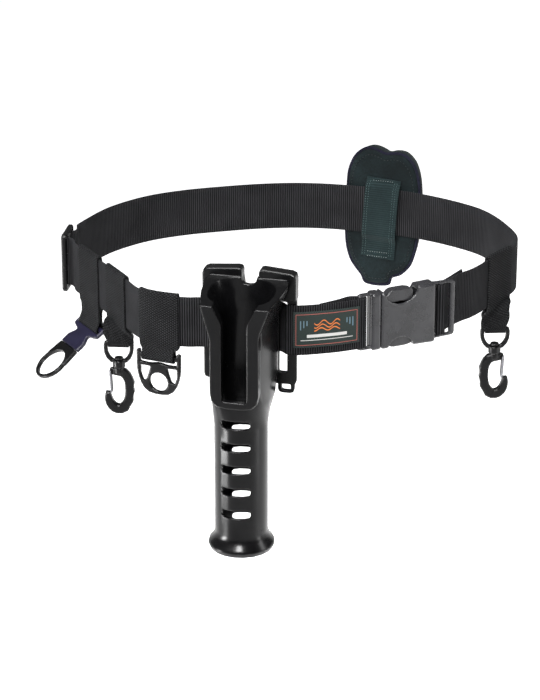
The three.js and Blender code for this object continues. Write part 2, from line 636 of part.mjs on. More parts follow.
function buckleFemale() {
  const high = BUCKLE_HEIGHT / 2;
  const deep = BUCKLE_THICKNESS / 2;
  const shell = plate(rounded([
    [mouthEdge, -high + 1.5, 3], [bodyEnd, -high, 3], [bodyEnd, high, 3], [mouthEdge, high - 1.5, 3],
  ], 3), BUCKLE_THICKNESS, 0, 1.5, 3);
  const inside = plate(
    rounded(box(mouthEdge - 8, bodyEnd - 8, -high + 4, high - 4), 2), BUCKLE_THICKNESS - 2 * BUCKLE_WALL, 0, 0, 2);
  const sides = plate(
    rounded(box(mouthEdge + 6, mouthEdge + 35, -high - 9, high + 9), 2), BUCKLE_THICKNESS - 2 * BUCKLE_WALL, 0, 0, 2);
  const press = [-1, 1].map((side) => plate(
    round(mouthEdge + 20.5, side * (high + 3.5), side > 0 ? 19 : 15, 18),
    3 * BUCKLE_THICKNESS,
  ));
  const ladderShape = rounded([
    [bodyEnd - 3, -high + 1], [buckleHalf, -high + 2.2], [buckleHalf, high - 2.2], [bodyEnd - 3, high - 1],
  ], 3);
  const inner = half + 2 * SEAT_GAP;
  const foldEdge = femaleBar - BUCKLE_BAR_RADIUS;
  ladderShape.holes.push(rounded(box(bodyEnd, foldEdge, -inner, inner), 1, THREE.Path));
  ladderShape.holes.push(rounded(
    box(femaleBar + BUCKLE_BAR_RADIUS, buckleHalf - 5.2, -inner, inner), 1, THREE.Path));
  const ladder = plate(ladderShape, 2 * BUCKLE_BAR_RADIUS, 0, barBevel, 2);
  return cut(join(cut(shell, inside, sides), ladder), ...press, plate(
    rounded(box(bodyEnd, buckleHalf + 5, -inner, inner), 1), deep, deep + BUCKLE_BAR_RADIUS + 0.05));
}

function buckleMale() {
  const high = BUCKLE_HEIGHT / 2;
  const thick = BUCKLE_THICKNESS - 2 * BUCKLE_WALL - 2 * CLEARANCE;
  const frame = rounded(box(-buckleHalf, mouthEdge - SEAT_GAP, -high + 1.5, high - 1.5), 4);
  const inner = half + 2 * SEAT_GAP;
  frame.holes.push(rounded(box(maleBar + BUCKLE_BAR_RADIUS, mouthEdge - 10, -inner, inner), 1.5, THREE.Path));
  const collar = plate(frame, 2 * BUCKLE_BAR_RADIUS, 0, barBevel, 2);
  const shoulder = plate(rounded(box(mouthEdge - 9.7, mouthEdge - SEAT_GAP, -high + 1.5, high - 1.5), 2),
    BUCKLE_THICKNESS - 1, 0, 1.5, 2);
  const guide = plate(rounded(box(mouthEdge - 3, bodyEnd - 10, -7, 7), 2), thick, 0, 0, 2);
  const prongs = [-1, 1].map((side) => plate(rounded([
    [mouthEdge - 3, side * 15], [mouthEdge + 20, side * 17], [mouthEdge + 34, side * 15.5, 1],
    [mouthEdge + 34, side * (high - 3), 2], [mouthEdge + 28, side * (high - 1.2), 4],
    [mouthEdge + 10, side * (high - 1.2), 5], [mouthEdge + 5, side * 22, 3], [mouthEdge - 3, side * 20.5],
  ], 1), thick, 0, 0, 3));
  return join(collar, shoulder, guide, ...prongs);
}

function slider() {
  const high = SLIDER_HEIGHT / 2;
  const inner = half + 2 * SEAT_GAP;
  const shape = rounded(box(-sliderReach, sliderReach, -high, high), 4);
  const edge = sliderReach - SLIDER_BAR;
  shape.holes.push(rounded(box(-edge, -SLIDER_BAR / 2, -inner, inner), 1, THREE.Path));
  shape.holes.push(rounded(box(SLIDER_BAR / 2, edge, -inner, inner), 1, THREE.Path));
  return plate(shape, SLIDER_THICKNESS, 0, 1.2, 3);
}

// Pouch outline seen from inside the loop, as shares of its half width and half height.
const POUCH_OUTLINE = [
  [-0.45, 0.99], [-0.18, 0.98], [0.08, 0.93], [0.32, 0.95], [0.6, 0.93], [0.86, 0.78], [0.99, 0.5],
  [1.0, 0.1], [0.95, -0.3], [0.78, -0.66], [0.5, -0.83], [0.26, -0.89], [0.2, -0.99], [-0.46, -1.0],
  [-0.54, -0.91], [-0.84, -0.7], [-0.98, -0.45], [-1.0, -0.1], [-0.97, 0.3], [-0.94, 0.62], [-0.76, 0.86],
];
// Sections of the pouch from the face on the belt outwards: share of its depth and of its outline.
const POUCH_SECTIONS = [
  { depth: 0, size: 0.9 }, { depth: 0.12, size: 0.975 }, { depth: 0.38, size: 1 }, { depth: 0.62, size: 0.99 },
  { depth: 0.82, size: 0.93 }, { depth: 0.95, size: 0.82 }, { depth: 1, size: 0.66 },
];

function pouch() {
  const outline = new THREE.CatmullRomCurve3(
    POUCH_OUTLINE.map(([x, z]) => new THREE.Vector3(-x * POUCH_WIDTH / 2, 0, z * POUCH_HEIGHT / 2)),
    true,
    'centripetal',
  ).getPoints(42).slice(0, -1);
  return loft(POUCH_SECTIONS.map(({ depth, size }) => outline.map((p) => new THREE.Vector3(
    p.x * (1 - (1 - size) * 0.9),
    -depth * POUCH_DEPTH,
    p.z * (1 - (1 - size) * 0.5),
  ))));
}

// Keeper: a strip sewn to the pouch above and below the belt and passing inside it.
function pouchKeeper() {
  const seat = 1.4;
  const bridge = WEBBING_THICKNESS + 2 * CLEARANCE + seat + 0.6;
  const line = [
    [0, KEEPER_TOP], [0, half + 7], [bridge, half + 1.5], [bridge + 0.8, 0],
    [bridge, -half - 1.5], [0, -half - 9], [0, KEEPER_BOTTOM],
  ].map(([y, z]) => new THREE.Vector3(y, z, 0));
  return prismX(ribbon(line, STRAP_THICKNESS), KEEPER_WIDTH).rotateY(radians(-KEEPER_TILT));
}

// A stroke of changing width along a line in the XZ plane, as an outline.
function stroke(rows, teeth = { from: 1, to: 0, height: 0 }) {
  const line = rows.map(([x, z]) => new THREE.Vector3(x, z, 0));
  const curve = new THREE.CatmullRomCurve3(line, false, 'centripetal');
  const count = 2 * (rows.length - 1);
  const outer = [];
  const inner = [];
  for (let i = 0; i <= count; i += 1) {
    const share = i / count;
    const place = share * (rows.length - 1);
    const low = Math.min(Math.floor(place), rows.length - 2);
    const width = THREE.MathUtils.lerp(rows[low][2], rows[low + 1][2], place - low);
    const tooth = share > teeth.from && share < teeth.to && i % 2 ? teeth.height : 0;
    const point = curve.getPoint(share);
    const along = curve.getTangent(share);
    outer.push(new THREE.Vector2(point.x - along.y * (width - tooth), point.y + along.x * (width - tooth)));
    inner.push(new THREE.Vector2(point.x + along.y * width, point.y - along.x * width));
  }
  return [...outer, ...inner.reverse()];
}

// Swivel snap hook, in its own frame: the origin is the middle of the eye's bar, and the hook
// hangs down in the XZ plane. Side 1 has its gate on the left, side -1 on the right.
const eyeInner = EYE_WIDTH / 2 - RING_BAR;
const eyeFloor = -EYE_HEIGHT + RING_BAR / 2 + RING_BAR;
const swivelTop = eyeFloor - 0.6;
const swivelBottom = swivelTop - SWIVEL_HEIGHT;
const hookTop = swivelBottom - SEAT_GAP - 0.2;

function hookEye() {
  const w = EYE_WIDTH / 2;
  const floor = -EYE_HEIGHT + RING_BAR / 2;
  const shape = rounded([
    [-w, RING_BAR / 2, 4], [-w, floor * 0.5, 5], [-w * 0.6, floor, 6],
    [w * 0.6, floor, 6], [w, floor * 0.5, 5], [w, RING_BAR / 2, 4],
  ], 4);
  shape.holes.push(rounded([
    [-eyeInner, -RING_BAR / 2, 1.5], [-eyeInner, floor * 0.48, 4], [-eyeInner * 0.52, eyeFloor, 3],
    [eyeInner * 0.52, eyeFloor, 3], [eyeInner, floor * 0.48, 4], [eyeInner, -RING_BAR / 2, 1.5],
  ], 3, THREE.Path));
  const ring = plate(shape, RING_BAR, 0, 0.7, 2);
  const boss = post(SWIVEL_RADIUS, swivelBottom, swivelTop, 14);
  const bore = post(STEM_RADIUS + CLEARANCE, swivelBottom - 2, swivelTop + 2, 12);
  return cut(join(ring, boss), bore, post(STEM_HEAD + CLEARANCE, swivelTop, swivelTop + 4, 12));
}

// The hook's stroke: place across and down as shares of its width and height, and half width
// of the stroke as a share of its width.
const HOOK_ROWS = [
  [-0.3, -0.085, 0.1], [-0.08, -0.085, 0.14], [0.16, -0.12, 0.15], [0.31, -0.25, 0.15], [0.345, -0.42, 0.145],
  [0.33, -0.6, 0.145], [0.24, -0.78, 0.155], [0.04, -0.895, 0.165], [-0.18, -0.87, 0.16],
  [-0.33, -0.76, 0.14], [-0.385, -0.63, 0.115], [-0.385, -0.53, 0.08],
];

function hookBody(side) {
  const rows = HOOK_ROWS.map(([x, z, w]) => [x * HOOK_WIDTH, hookTop + z * HOOK_HEIGHT, w * HOOK_WIDTH]);
  const outline = stroke(rows, { from: 0.3, to: 0.6, height: -0.9 });
  const hook = plate(new THREE.Shape(outline), HOOK_THICKNESS, 0, 1, 3);
  const neck = post(SWIVEL_RADIUS * 0.8, hookTop - 6, hookTop, 12);
  const stem = post(STEM_RADIUS, hookTop - 5, swivelTop + SEAT_GAP + 0.5, 12);
  const head = post(STEM_HEAD, swivelTop + SEAT_GAP, swivelTop + SEAT_GAP + 2.4, 12);
  const pinHole = prismX(round(0, 0, GATE_WIRE + 0.35, 8), 3 * HOOK_THICKNESS).rotateZ(Math.PI / 2);
  const cheek = [-1, 1].map((y) => plate(
    new THREE.Shape(box(-HOOK_WIDTH, gateX + 3.2, hookTop - 12, hookTop + 2).map(([a, b]) => new THREE.Vector2(a, b))),
    4, y * (HOOK_THICKNESS / 2 + 0.6)));
  const body = cut(join(hook, neck, stem, head), ...cheek, pinHole.translate(gateX, 0, gateTop));
  return side > 0 ? body : mirrored(body);
}

const gateX = HOOK_ROWS[0][0] * HOOK_WIDTH;
const gateTop = hookTop + HOOK_ROWS[0][1] * HOOK_HEIGHT;
const gateEnd = hookTop + HOOK_ROWS[HOOK_ROWS.length - 1][1] * HOOK_HEIGHT + 1;

// Wire gate: a pin through the hook's top, two legs and a bar that closes on the nose.
function hookGate(side) {
  const leg = HOOK_THICKNESS / 2 - 0.1;
  const foot = gateX + 1.2;
  const wire = (from, to) => {
    const length = from.distanceTo(to);
    const bar = new THREE.CylinderGeometry(GATE_WIRE, GATE_WIRE, length + GATE_WIRE, 6);
    const turn = new THREE.Quaternion().setFromUnitVectors(
      new THREE.Vector3(0, 1, 0), to.clone().sub(from).normalize());
    const middle = from.clone().lerp(to, 0.5);
    return bar.applyQuaternion(turn).translate(middle.x, middle.y, middle.z);
  };
  const corner = (x, y, z) => new THREE.Vector3(x, y, z);
  const body = join(
    wire(corner(gateX, -leg, gateTop), corner(gateX, leg, gateTop)),
    wire(corner(gateX, -leg, gateTop), corner(foot, -leg, gateEnd)),
    wire(corner(gateX, leg, gateTop), corner(foot, leg, gateEnd)),
    wire(corner(foot, -leg, gateEnd), corner(foot, leg, gateEnd)),
  );
  return side > 0 ? body : mirrored(body);
}

function mirrored(geometry) {
  return toGeometry(toSolid(geometry).mirror([1, 0, 0]));
}

// D-ring: a moulded plate with a round eye carried on webs inside the D.
function dRing() {
  const w = D_WIDTH / 2;
  const bar = RING_BAR / 2;
  const bottom = bar - D_HEIGHT;
  const ear = D_FOLD / 2 + 1.5;
  const shape = rounded([
    [-ear - 0.6, bar, 1], [-ear - 0.8, bar + D_EAR, 1], [-w, bar + D_EAR, 2], [-w, bottom / 2, 12],
    [-w * 0.62, bottom, 14], [w * 0.62, bottom, 14], [w, bottom / 2, 12], [w, bar + D_EAR, 2],
    [ear + 0.8, bar + D_EAR, 1], [ear + 0.6, bar, 1],
  ], 4);
  const rim = 3.8;
  const eye = 9.6;
  const eyeZ = bottom + rim + eye - 0.6;
  const webTop = -foldOuter - 1.6;
  shape.holes.push(rounded([
    [-w + rim, -bar, 1], [-w + rim, webTop - 0.4], [-9, webTop - 1.2, 4], [0, webTop + 1, 8],
    [9, webTop - 1.2, 4], [w - rim, webTop - 0.4], [w - rim, -bar, 1],
  ], 1, THREE.Path));
  shape.holes.push(round(0, eyeZ, eye, 16, THREE.Path));
  for (const side of [-1, 1]) {
    shape.holes.push(rounded([
      [side * (w - rim), webTop - 3.8], [side * (w - rim), webTop - 12.5], [side * (eye + 6.8), webTop - 20],
      [side * (eye + 3.4), webTop - 18], [side * (eye + 0.8), webTop - 11], [side * (eye - 1), webTop - 4],
    ], 1.2, THREE.Path));
  }
  return plate(shape, D_THICKNESS, 0, 0.6, 3);
}

// Bottle clip, in its own frame: the origin is the middle of its bar, and it runs down -Z.
function bottleClip() {
  const w = CLIP_WIDTH / 2;
  const shape = rounded([
    [-w, RING_BAR / 2, 2], [-w, -9, 3], [-10.5, -12.5, 4], [-17.5, -21, 4], [-17, -CLIP_SPLIT, 1],
    [17, -CLIP_SPLIT, 1], [17.5, -21, 4], [10.5, -12.5, 4], [w, -9, 3], [w, RING_BAR / 2, 2],
  ], 2);
  shape.holes.push(rounded(box(-w + 3, w - 3, -foldOuter - 0.7, -RING_BAR / 2), 1, THREE.Path));
  const pocket = plate(rounded(box(-8.4, 8.4, -CLIP_SPLIT - 2, -CLIP_SPLIT + 10), 1), 2);
  return cut(plate(shape, CLIP_THICKNESS, 0, 0.7, 3), pocket);
}

function bottleRing() {
  const shape = rounded([
    [-16.8, -CLIP_SPLIT - SEAT_GAP, 1], [-RING_RADIUS, -RING_DISTANCE + 5, 3], [-10, -RING_DISTANCE],
    [10, -RING_DISTANCE], [RING_RADIUS, -RING_DISTANCE + 5, 3], [16.8, -CLIP_SPLIT - SEAT_GAP, 1],
  ], 2);
  const tongue = plate(rounded(box(-8, 8, -CLIP_SPLIT - 4, -CLIP_SPLIT + 9), 1), 1.4);
  const ring = plate(round(0, -RING_DISTANCE, RING_RADIUS, 22), CLIP_THICKNESS, 0, 0.8);
  const hole = plate(round(0, -RING_DISTANCE, RING_RADIUS - RING_WALL, 22), 3 * CLIP_THICKNESS);
  return cut(join(plate(shape, CLIP_THICKNESS, 0, 0.8, 4), ring, tongue), hole);
}

// Assembly
const belt = new THREE.Group();

function add(name, geometry, finish, parent = belt) {
  const mesh = new THREE.Mesh(geometry, finish);
  mesh.name = name;
  parent.add(mesh);
  return mesh;
}

function seat(frame) {
  const group = new THREE.Group();
  group.position.copy(frame.origin);
  group.rotation.z = frame.turn;
  belt.add(group);
  return group;
}

// A group on the loop: local +X runs from left to right as seen from outside the belt.
function onBelt(share, outward, height, turn = loopTurn(share)) {
  const origin = onLoop(share, outward);
  origin.z = height;
  return seat({ origin, turn });
}

add('webbing_belt', webbingBelt(), webbingCloth);
add('label_patch', labelPatch(), labelCloth);
add('rod_holder', rodHolder(), holderPlastic, seat(holderFrame));
const buckle = seat(buckleFrame);
add('buckle_female', buckleFemale(), bucklePlastic, buckle);
add('buckle_male', buckleMale(), bucklePlastic, buckle);
add('slider', slider(), hardwarePlastic, onBelt(SLIDER_AT, 0, 0));

const leftTurn = radians(-4);
const rightTurn = radians(4);
const eyeFold = 2 * eyeInner - 2;
add('ring_strap', hangingStrap({
  at: RING_STRAP_AT, bar: RING_BAR_HEIGHT, rows: STRAIGHT_ROWS, turn: loopTurn(RING_STRAP_AT), foldWidth: CLIP_FOLD,
}), strapCloth);
add('hook_strap_left', hangingStrap({
  at: LEFT_HOOK_AT, bar: LEFT_EYE_HEIGHT, rows: TWISTED_ROWS, turn: leftTurn, foldWidth: eyeFold,
}), strapCloth);
add('d_strap', hangingStrap({
  at: D_STRAP_AT, bar: D_BAR_HEIGHT, rows: STRAIGHT_ROWS, turn: loopTurn(D_STRAP_AT), foldWidth: D_FOLD,
}), strapCloth);
add('hook_strap_right', hangingStrap({
  at: RIGHT_HOOK_AT, bar: RIGHT_EYE_HEIGHT, rows: TWISTED_ROWS, turn: rightTurn, foldWidth: eyeFold,
}), strapCloth);

for (const [name, share, height, turn, side] of [
  ['left', LEFT_HOOK_AT, LEFT_EYE_HEIGHT, leftTurn, 1],
  ['right', RIGHT_HOOK_AT, RIGHT_EYE_HEIGHT, rightTurn, -1],
]) {
  const hook = onBelt(share, 0, height, turn);
  add(`hook_eye_${name}`, hookEye(), hardwarePlastic, hook);
  add(`hook_body_${name}`, hookBody(side), hardwarePlastic, hook);
  add(`hook_gate_${name}`, hookGate(side), gateSteel, hook);
}

add('d_ring', dRing(), hardwarePlastic, onBelt(D_STRAP_AT, 0, D_BAR_HEIGHT));

const clip = onBelt(RING_STRAP_AT, 0, RING_BAR_HEIGHT);
const clipTilt = new THREE.Group();
clipTilt.rotation.x = -radians(CLIP_LIFT);
clip.add(clipTilt);
add('bottle_clip', bottleClip(), clipPlastic, clipTilt);
add('bottle_ring', bottleRing(), hardwarePlastic, clipTilt);

const pouchSeat = onBelt(POUCH_AT, WEBBING_THICKNESS / 2 + CLEARANCE, POUCH_MIDDLE);
add('pouch', pouch(), pouchCloth, pouchSeat);
const keeperSeat = onBelt(POUCH_AT, WEBBING_THICKNESS / 2 + CLEARANCE - SEAT_GAP - STRAP_THICKNESS / 2, 0);
add('pouch_keeper', pouchKeeper(), keeperCloth, keeperSeat);

export default belt;
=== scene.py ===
# %% [markdown]
# # A fishing fighting belt
# A belt of wide webbing closes round the waist with a side-release buckle. A moulded holder at the
# front takes the butt of a rod, straps carry hooks and rings, and a padded pouch hangs behind.
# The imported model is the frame: it says where every piece is. This file dresses it, piece by piece.

# %% Load the frame
import json
import math

import bmesh
import bpy
from mathutils import Matrix, Vector
from mathutils.bvhtree import BVHTree
from mathutils.geometry import intersect_point_line


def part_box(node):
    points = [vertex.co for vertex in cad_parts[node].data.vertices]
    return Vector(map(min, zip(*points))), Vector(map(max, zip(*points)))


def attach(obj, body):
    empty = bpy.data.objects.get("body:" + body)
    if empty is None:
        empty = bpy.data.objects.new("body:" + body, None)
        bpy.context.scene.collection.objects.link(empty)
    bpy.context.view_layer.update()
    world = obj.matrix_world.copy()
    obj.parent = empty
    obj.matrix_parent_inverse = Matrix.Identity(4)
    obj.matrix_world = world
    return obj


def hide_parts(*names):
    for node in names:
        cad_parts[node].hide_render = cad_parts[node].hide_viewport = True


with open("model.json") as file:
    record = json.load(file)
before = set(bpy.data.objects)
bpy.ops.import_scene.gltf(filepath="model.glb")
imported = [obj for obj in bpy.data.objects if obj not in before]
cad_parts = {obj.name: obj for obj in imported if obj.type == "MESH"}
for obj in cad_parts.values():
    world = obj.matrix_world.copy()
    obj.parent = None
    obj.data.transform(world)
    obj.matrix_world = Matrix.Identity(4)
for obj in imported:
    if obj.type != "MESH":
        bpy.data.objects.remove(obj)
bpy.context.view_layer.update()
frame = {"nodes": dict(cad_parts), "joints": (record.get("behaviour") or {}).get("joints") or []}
joints = {joint["name"]: joint for joint in frame["joints"]}
MM = 0.001
UP = Vector((0, 0, 1))

# %% [markdown]
# ## Camera, floor and light
# The picture is a plain product shot: a long lens, a little above the belt, on white. A wide pale
# floor well below the belt keeps its shadow out of the picture. Large soft lights give the black
# plastic its long soft highlights, which a small hard lamp would turn into dots. Each has a grid,
# which keeps its light off the floor, because a bright floor makes the black pieces look grey.

# %% Camera
CAMERA_DISTANCE = 2.8
CAMERA_ELEVATION = math.radians(20)
PICTURE = (540, 700)              # width and height in pixels
FOCAL_PIXELS = 2800               # focal length in pixels of that picture
CENTRE_PIXEL = (291, 262)         # where the middle of the waist loop shows
SENSOR = 36                       # in millimetres, along the longer side of the picture

camera_data = bpy.data.cameras.new("camera")
camera_data.lens = SENSOR * FOCAL_PIXELS / PICTURE[1]
camera_data.sensor_width = SENSOR
camera = bpy.data.objects.new("camera", camera_data)
bpy.context.scene.collection.objects.link(camera)
bpy.context.scene.camera = camera
away = Vector((0, -math.cos(CAMERA_ELEVATION), math.sin(CAMERA_ELEVATION)))
right = Vector((1, 0, 0))
above = right.cross(-away)
forward = (
    -away
    - right * (CENTRE_PIXEL[0] - PICTURE[0] / 2) / FOCAL_PIXELS
    + above * (CENTRE_PIXEL[1] - PICTURE[1] / 2) / FOCAL_PIXELS
)
camera.location = away * CAMERA_DISTANCE
camera.rotation_mode = "QUATERNION"
camera.rotation_quaternion = forward.to_track_quat("-Z", "Y")
camera_data.clip_start, camera_data.clip_end = 0.05, 200
print("lens", camera_data.lens)

# %% Floor, world and lights
FLOOR_HEIGHT = -0.62
FLOOR_RADIUS = 60.0               # wide enough to fill the picture
FLOOR_GLOW = 0.85                 # evens out the white sweep, as a lit background does
WORLD_GLOW = 0.16

floor_mesh = bmesh.new()
bmesh.ops.create_circle(floor_mesh, cap_ends=True, segments=96, radius=FLOOR_RADIUS)
floor_data = bpy.data.meshes.new("floor")
floor_mesh.to_mesh(floor_data)
floor_mesh.free()
floor_data.transform(Matrix.Translation((0, 0, FLOOR_HEIGHT)))
floor = bpy.data.objects.new("floor", floor_data)
bpy.context.scene.collection.objects.link(floor)
floor_paint = bpy.data.materials.new("pale_floor")
floor_paint.use_nodes = True
floor_shader = floor_paint.node_tree.nodes["Principled BSDF"]
floor_shader.inputs["Base Color"].default_value = (0.93, 0.93, 0.93, 1)
floor_shader.inputs["Roughness"].default_value = 0.9
floor_shader.inputs["Emission Color"].default_value = (1, 1, 1, 1)
floor_shader.inputs["Emission Strength"].default_value = FLOOR_GLOW
floor_data.materials.append(floor_paint)

world = bpy.data.worlds.new("studio")
bpy.context.scene.world = world
world.use_nodes = True
backdrop = world.node_tree.nodes["Background"]
backdrop.inputs["Color"].default_value = (1.0, 1.0, 1.0, 1)
backdrop.inputs["Strength"].default_value = WORLD_GLOW
bpy.context.scene.view_settings.view_transform = "Standard"


def softbox(name, place, target, size, power, spread):
    """A soft light. power is in watts, and spread is the angle in degrees that its grid leaves."""
    data = bpy.data.lights.new(name, "AREA")
    data.shape = "RECTANGLE"
    data.size, data.size_y = size
    data.energy = power
    data.spread = math.radians(spread)
    lamp = bpy.data.objects.new(name, data)
    lamp.location = place
    lamp.rotation_euler = (Vector(target) - Vector(place)).to_track_quat("-Z", "Y").to_euler()
    bpy.context.scene.collection.objects.link(lamp)


# Name, place, target, size, power and spread.
SOFTBOXES = [
    ("key", (-1.2, -1.5, 1.9), (0, 0, -0.05), (0.9, 0.6), 12, 60),
    ("side", (1.9, -0.5, 0.6), (0, 0, -0.05), (0.4, 1.4), 5, 90),
    ("top", (-0.1, -0.5, 2.2), (0, -0.1, 0), (1.4, 1.0), 9, 40),
    ("low_left", (-1.25, -0.45, -0.42), (0, -0.2, -0.1), (0.3, 0.4), 4.5, 90),
    ("front_top", (-0.35, -2.1, 1.3), (0, -0.2, 0), (0.7, 0.5), 5, 40),
    ("low_right", (1.3, -0.55, -0.42), (0.1, -0.15, -0.05), (0.3, 0.4), 0.9, 90),
]
for box in SOFTBOXES:
    softbox(*box)
print("lights", len(SOFTBOXES))

# %% [markdown]
# ## Helpers for pieces
# Most pieces are strips of webbing. A strip is a grid laid along a line, so that its own UV map
# runs in metres along and across it, and the weave can follow every bend and fold. The line itself
# comes from the frame's own node, so the strip lies where the frame says.

# %% Merged copies and new pieces
SAME_PLACE = 1e-6                 # points closer than this are one point
FLAT_ANGLE = math.radians(0.6)    # triangles that turn less than this are one flat face


def merged_mesh(node):
    """A bmesh of a frame node with its loose triangles joined and its flat faces made whole."""
    mesh = bmesh.new()
    mesh.from_mesh(frame["nodes"][node].data)
    bmesh.ops.remove_doubles(mesh, verts=mesh.verts, dist=SAME_PLACE)
    bmesh.ops.dissolve_limit(mesh, angle_limit=FLAT_ANGLE, verts=mesh.verts, edges=mesh.edges)
    return mesh


def place_piece(name, mesh, body, finish, replaces=()):
    """Turns a bmesh into an object that rides on a body of the frame."""
    data = bpy.data.meshes.new(name)
    mesh.to_mesh(data)
    mesh.free()
    for face in data.polygons:
        face.use_smooth = True
    data.materials.append(finish)
    piece = bpy.data.objects.new(name, data)
    bpy.context.scene.collection.objects.link(piece)
    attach(piece, body)
    if replaces:
        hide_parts(*replaces)
    return piece


def add_modifier(piece, kind, **settings):
    modifier = piece.modifiers.new(kind.lower(), kind)
    for key, value in settings.items():
        setattr(modifier, key, value)
    return modifier


def round_edges(piece, radius, segments, least_angle, **settings):
    """Bevels the edges of a piece that turn by at least so many degrees."""
    add_modifier(
        piece, "BEVEL", width=radius, segments=segments, limit_method="ANGLE",
        angle_limit=math.radians(least_angle), **settings,
    )


def give_thickness(piece, thickness, radius):
    """Makes a strip a slab, half to each side of its line, and rounds its edges."""
    add_modifier(piece, "SOLIDIFY", thickness=thickness, offset=0.0)
    round_edges(piece, radius, segments=2, least_angle=60)


# %% Lines in plan
def plan_line(node):
    """The middle line in plan of an upright strip in the frame, from one end to the other."""
    mesh = merged_mesh(node)
    lid = max(mesh.faces, key=lambda face: (len(face.verts), face.calc_center_median().z))
    rim = [vert.co.copy() for vert in lid.verts]
    mesh.free()
    count = len(rim)

    def spread(shift):
        gaps = [
            (rim[(shift + i) % count] - rim[(shift - 1 - i) % count]).length
            for i in range(count // 2)
        ]
        middle = sum(gaps) / len(gaps)
        return sum((gap - middle) ** 2 for gap in gaps)

    shift = min(range(count), key=spread)
    line = [
        (rim[(shift + i) % count] + rim[(shift - 1 - i) % count]) / 2 for i in range(count // 2)
    ]
    return [Vector((point.x, point.y, 0)) for point in line]


class Line:
    """A smooth curve through points, which can be asked for a place at a distance along it."""

    def __init__(self, points, step=1.5 * MM):
        ghost = [2 * points[0] - points[1], *points, 2 * points[-1] - points[-2]]
        fine = []
        for before, here, there, after in zip(ghost, ghost[1:], ghost[2:], ghost[3:]):
            parts = max(1, math.ceil((there - here).length / step))
            for part in range(parts):
                fine.append(catmull(before, here, there, after, part / parts))
        self.points = [*fine, points[-1].copy()]
        self.distances = [0.0]
        for here, there in zip(self.points, self.points[1:]):
            self.distances.append(self.distances[-1] + (there - here).length)
        self.length = self.distances[-1]

    def at(self, distance):
        distance = min(max(distance, 0.0), self.length)
        low, high = 0, len(self.distances) - 2
        while low < high:
            middle = (low + high + 1) // 2
            if self.distances[middle] <= distance:
                low = middle
            else:
                high = middle - 1
        span = max(self.distances[low + 1] - self.distances[low], 1e-9)
        return self.points[low].lerp(self.points[low + 1], (distance - self.distances[low]) / span)

    def along(self, distance):
        return (self.at(distance + 1 * MM) - self.at(distance - 1 * MM)).normalized()

    def nearest(self, place):
        best = (9.0, 0.0)
        for i, (here, there) in enumerate(zip(self.points, self.points[1:])):
            share = intersect_point_line(place, here, there)[1]
            share = min(max(share, 0.0), 1.0)
            gap = (here.lerp(there, share) - place).length
            best = min(best, (gap, self.distances[i] + share * (there - here).length))
        return best[1]


def catmull(before, here, there, after, share):
    """A point of the curve between here and there. Knots follow the spacing, so it can't loop."""
    knots = [0.0]
    for a, b in ((before, here), (here, there), (there, after)):
        knots.append(knots[-1] + max((b - a).length, 1e-7) ** 0.5)
    t = knots[1] + share * (knots[2] - knots[1])

    def mix(a, b, low, high):
        return a.lerp(b, (t - low) / (high - low))

    a1 = mix(before, here, knots[0], knots[1])
    a2 = mix(here, there, knots[1], knots[2])
    a3 = mix(there, after, knots[2], knots[3])
    b1 = mix(a1, a2, knots[0], knots[2])
    b2 = mix(a2, a3, knots[1], knots[3])
    return mix(b1, b2, knots[1], knots[2])


belt_line = Line(plan_line("webbing_belt"))
print("webbing length in metres", round(belt_line.length, 3))


# %% A strip from a grid
def strip(columns, rows, place, lengths, width):
    """A grid of columns by rows. place(column, share across) says where each corner goes."""
    mesh = bmesh.new()
    uv = mesh.loops.layers.uv.new("UVMap")
    bmesh.ops.create_grid(mesh, x_segments=columns - 1, y_segments=rows - 1, size=0.5)
    spots = {
        vert: (round((vert.co.x + 0.5) * (columns - 1)), vert.co.y + 0.5) for vert in mesh.verts
    }
    for face in mesh.faces:
        for corner in face.loops:
            column, share = spots[corner.vert]
            corner[uv].uv = (lengths[column], share * width)
    for vert, (column, share) in spots.items():
        vert.co = place(column, share)
    return mesh


# %% [markdown]
# ## Finishes
# Nylon webbing is matt and nearly black. Its weft makes small ribs across the strip, and each warp
# yarn crosses them, so the light breaks up in short bars. The pattern is worked out from the UV map
# with sines. It is bumped, and also painted into the colour: painted light on the crests and
# painted shade in the grooves. The moulded pieces are satin plastic with a very fine grain and
# faint scuffs.


# %% Node helpers
def new_finish(name, roughness, specular):
    finish = bpy.data.materials.new(name)
    finish.use_nodes = True
    shader = finish.node_tree.nodes["Principled BSDF"]
    shader.inputs["Roughness"].default_value = roughness
    shader.inputs["Specular IOR Level"].default_value = specular
    return finish, finish.node_tree, shader


def math_node(tree, operation, first, second=None):
    node = tree.nodes.new("ShaderNodeMath")
    node.operation = operation
    for socket, value in zip(node.inputs, (first, second)):
        if value is None:
            continue
        if hasattr(value, "is_linked"):
            tree.links.new(value, socket)
        else:
            socket.default_value = value
    return node.outputs[0]


def noise(tree, vector, scale, detail, roughness=0.5):
    node = tree.nodes.new("ShaderNodeTexNoise")
    node.inputs["Scale"].default_value = scale
    node.inputs["Detail"].default_value = detail
    node.inputs["Roughness"].default_value = roughness
    tree.links.new(vector, node.inputs["Vector"])
    return node.outputs["Fac"]


def ramp(tree, value, stops):
    node = tree.nodes.new("ShaderNodeValToRGB")
    elements = node.color_ramp.elements
    while len(elements) < len(stops):
        elements.new(0.5)
    for element, (position, colour) in zip(elements, stops):
        element.position = position
        element.color = (*colour, 1)
    tree.links.new(value, node.inputs["Fac"])
    return node.outputs["Color"]


def bump(tree, shader, height, strength, distance):
    node = tree.nodes.new("ShaderNodeBump")
    node.inputs["Strength"].default_value = strength
    node.inputs["Distance"].default_value = distance
    tree.links.new(height, node.inputs["Height"])
    tree.links.new(node.outputs["Normal"], shader.inputs["Normal"])
    return node


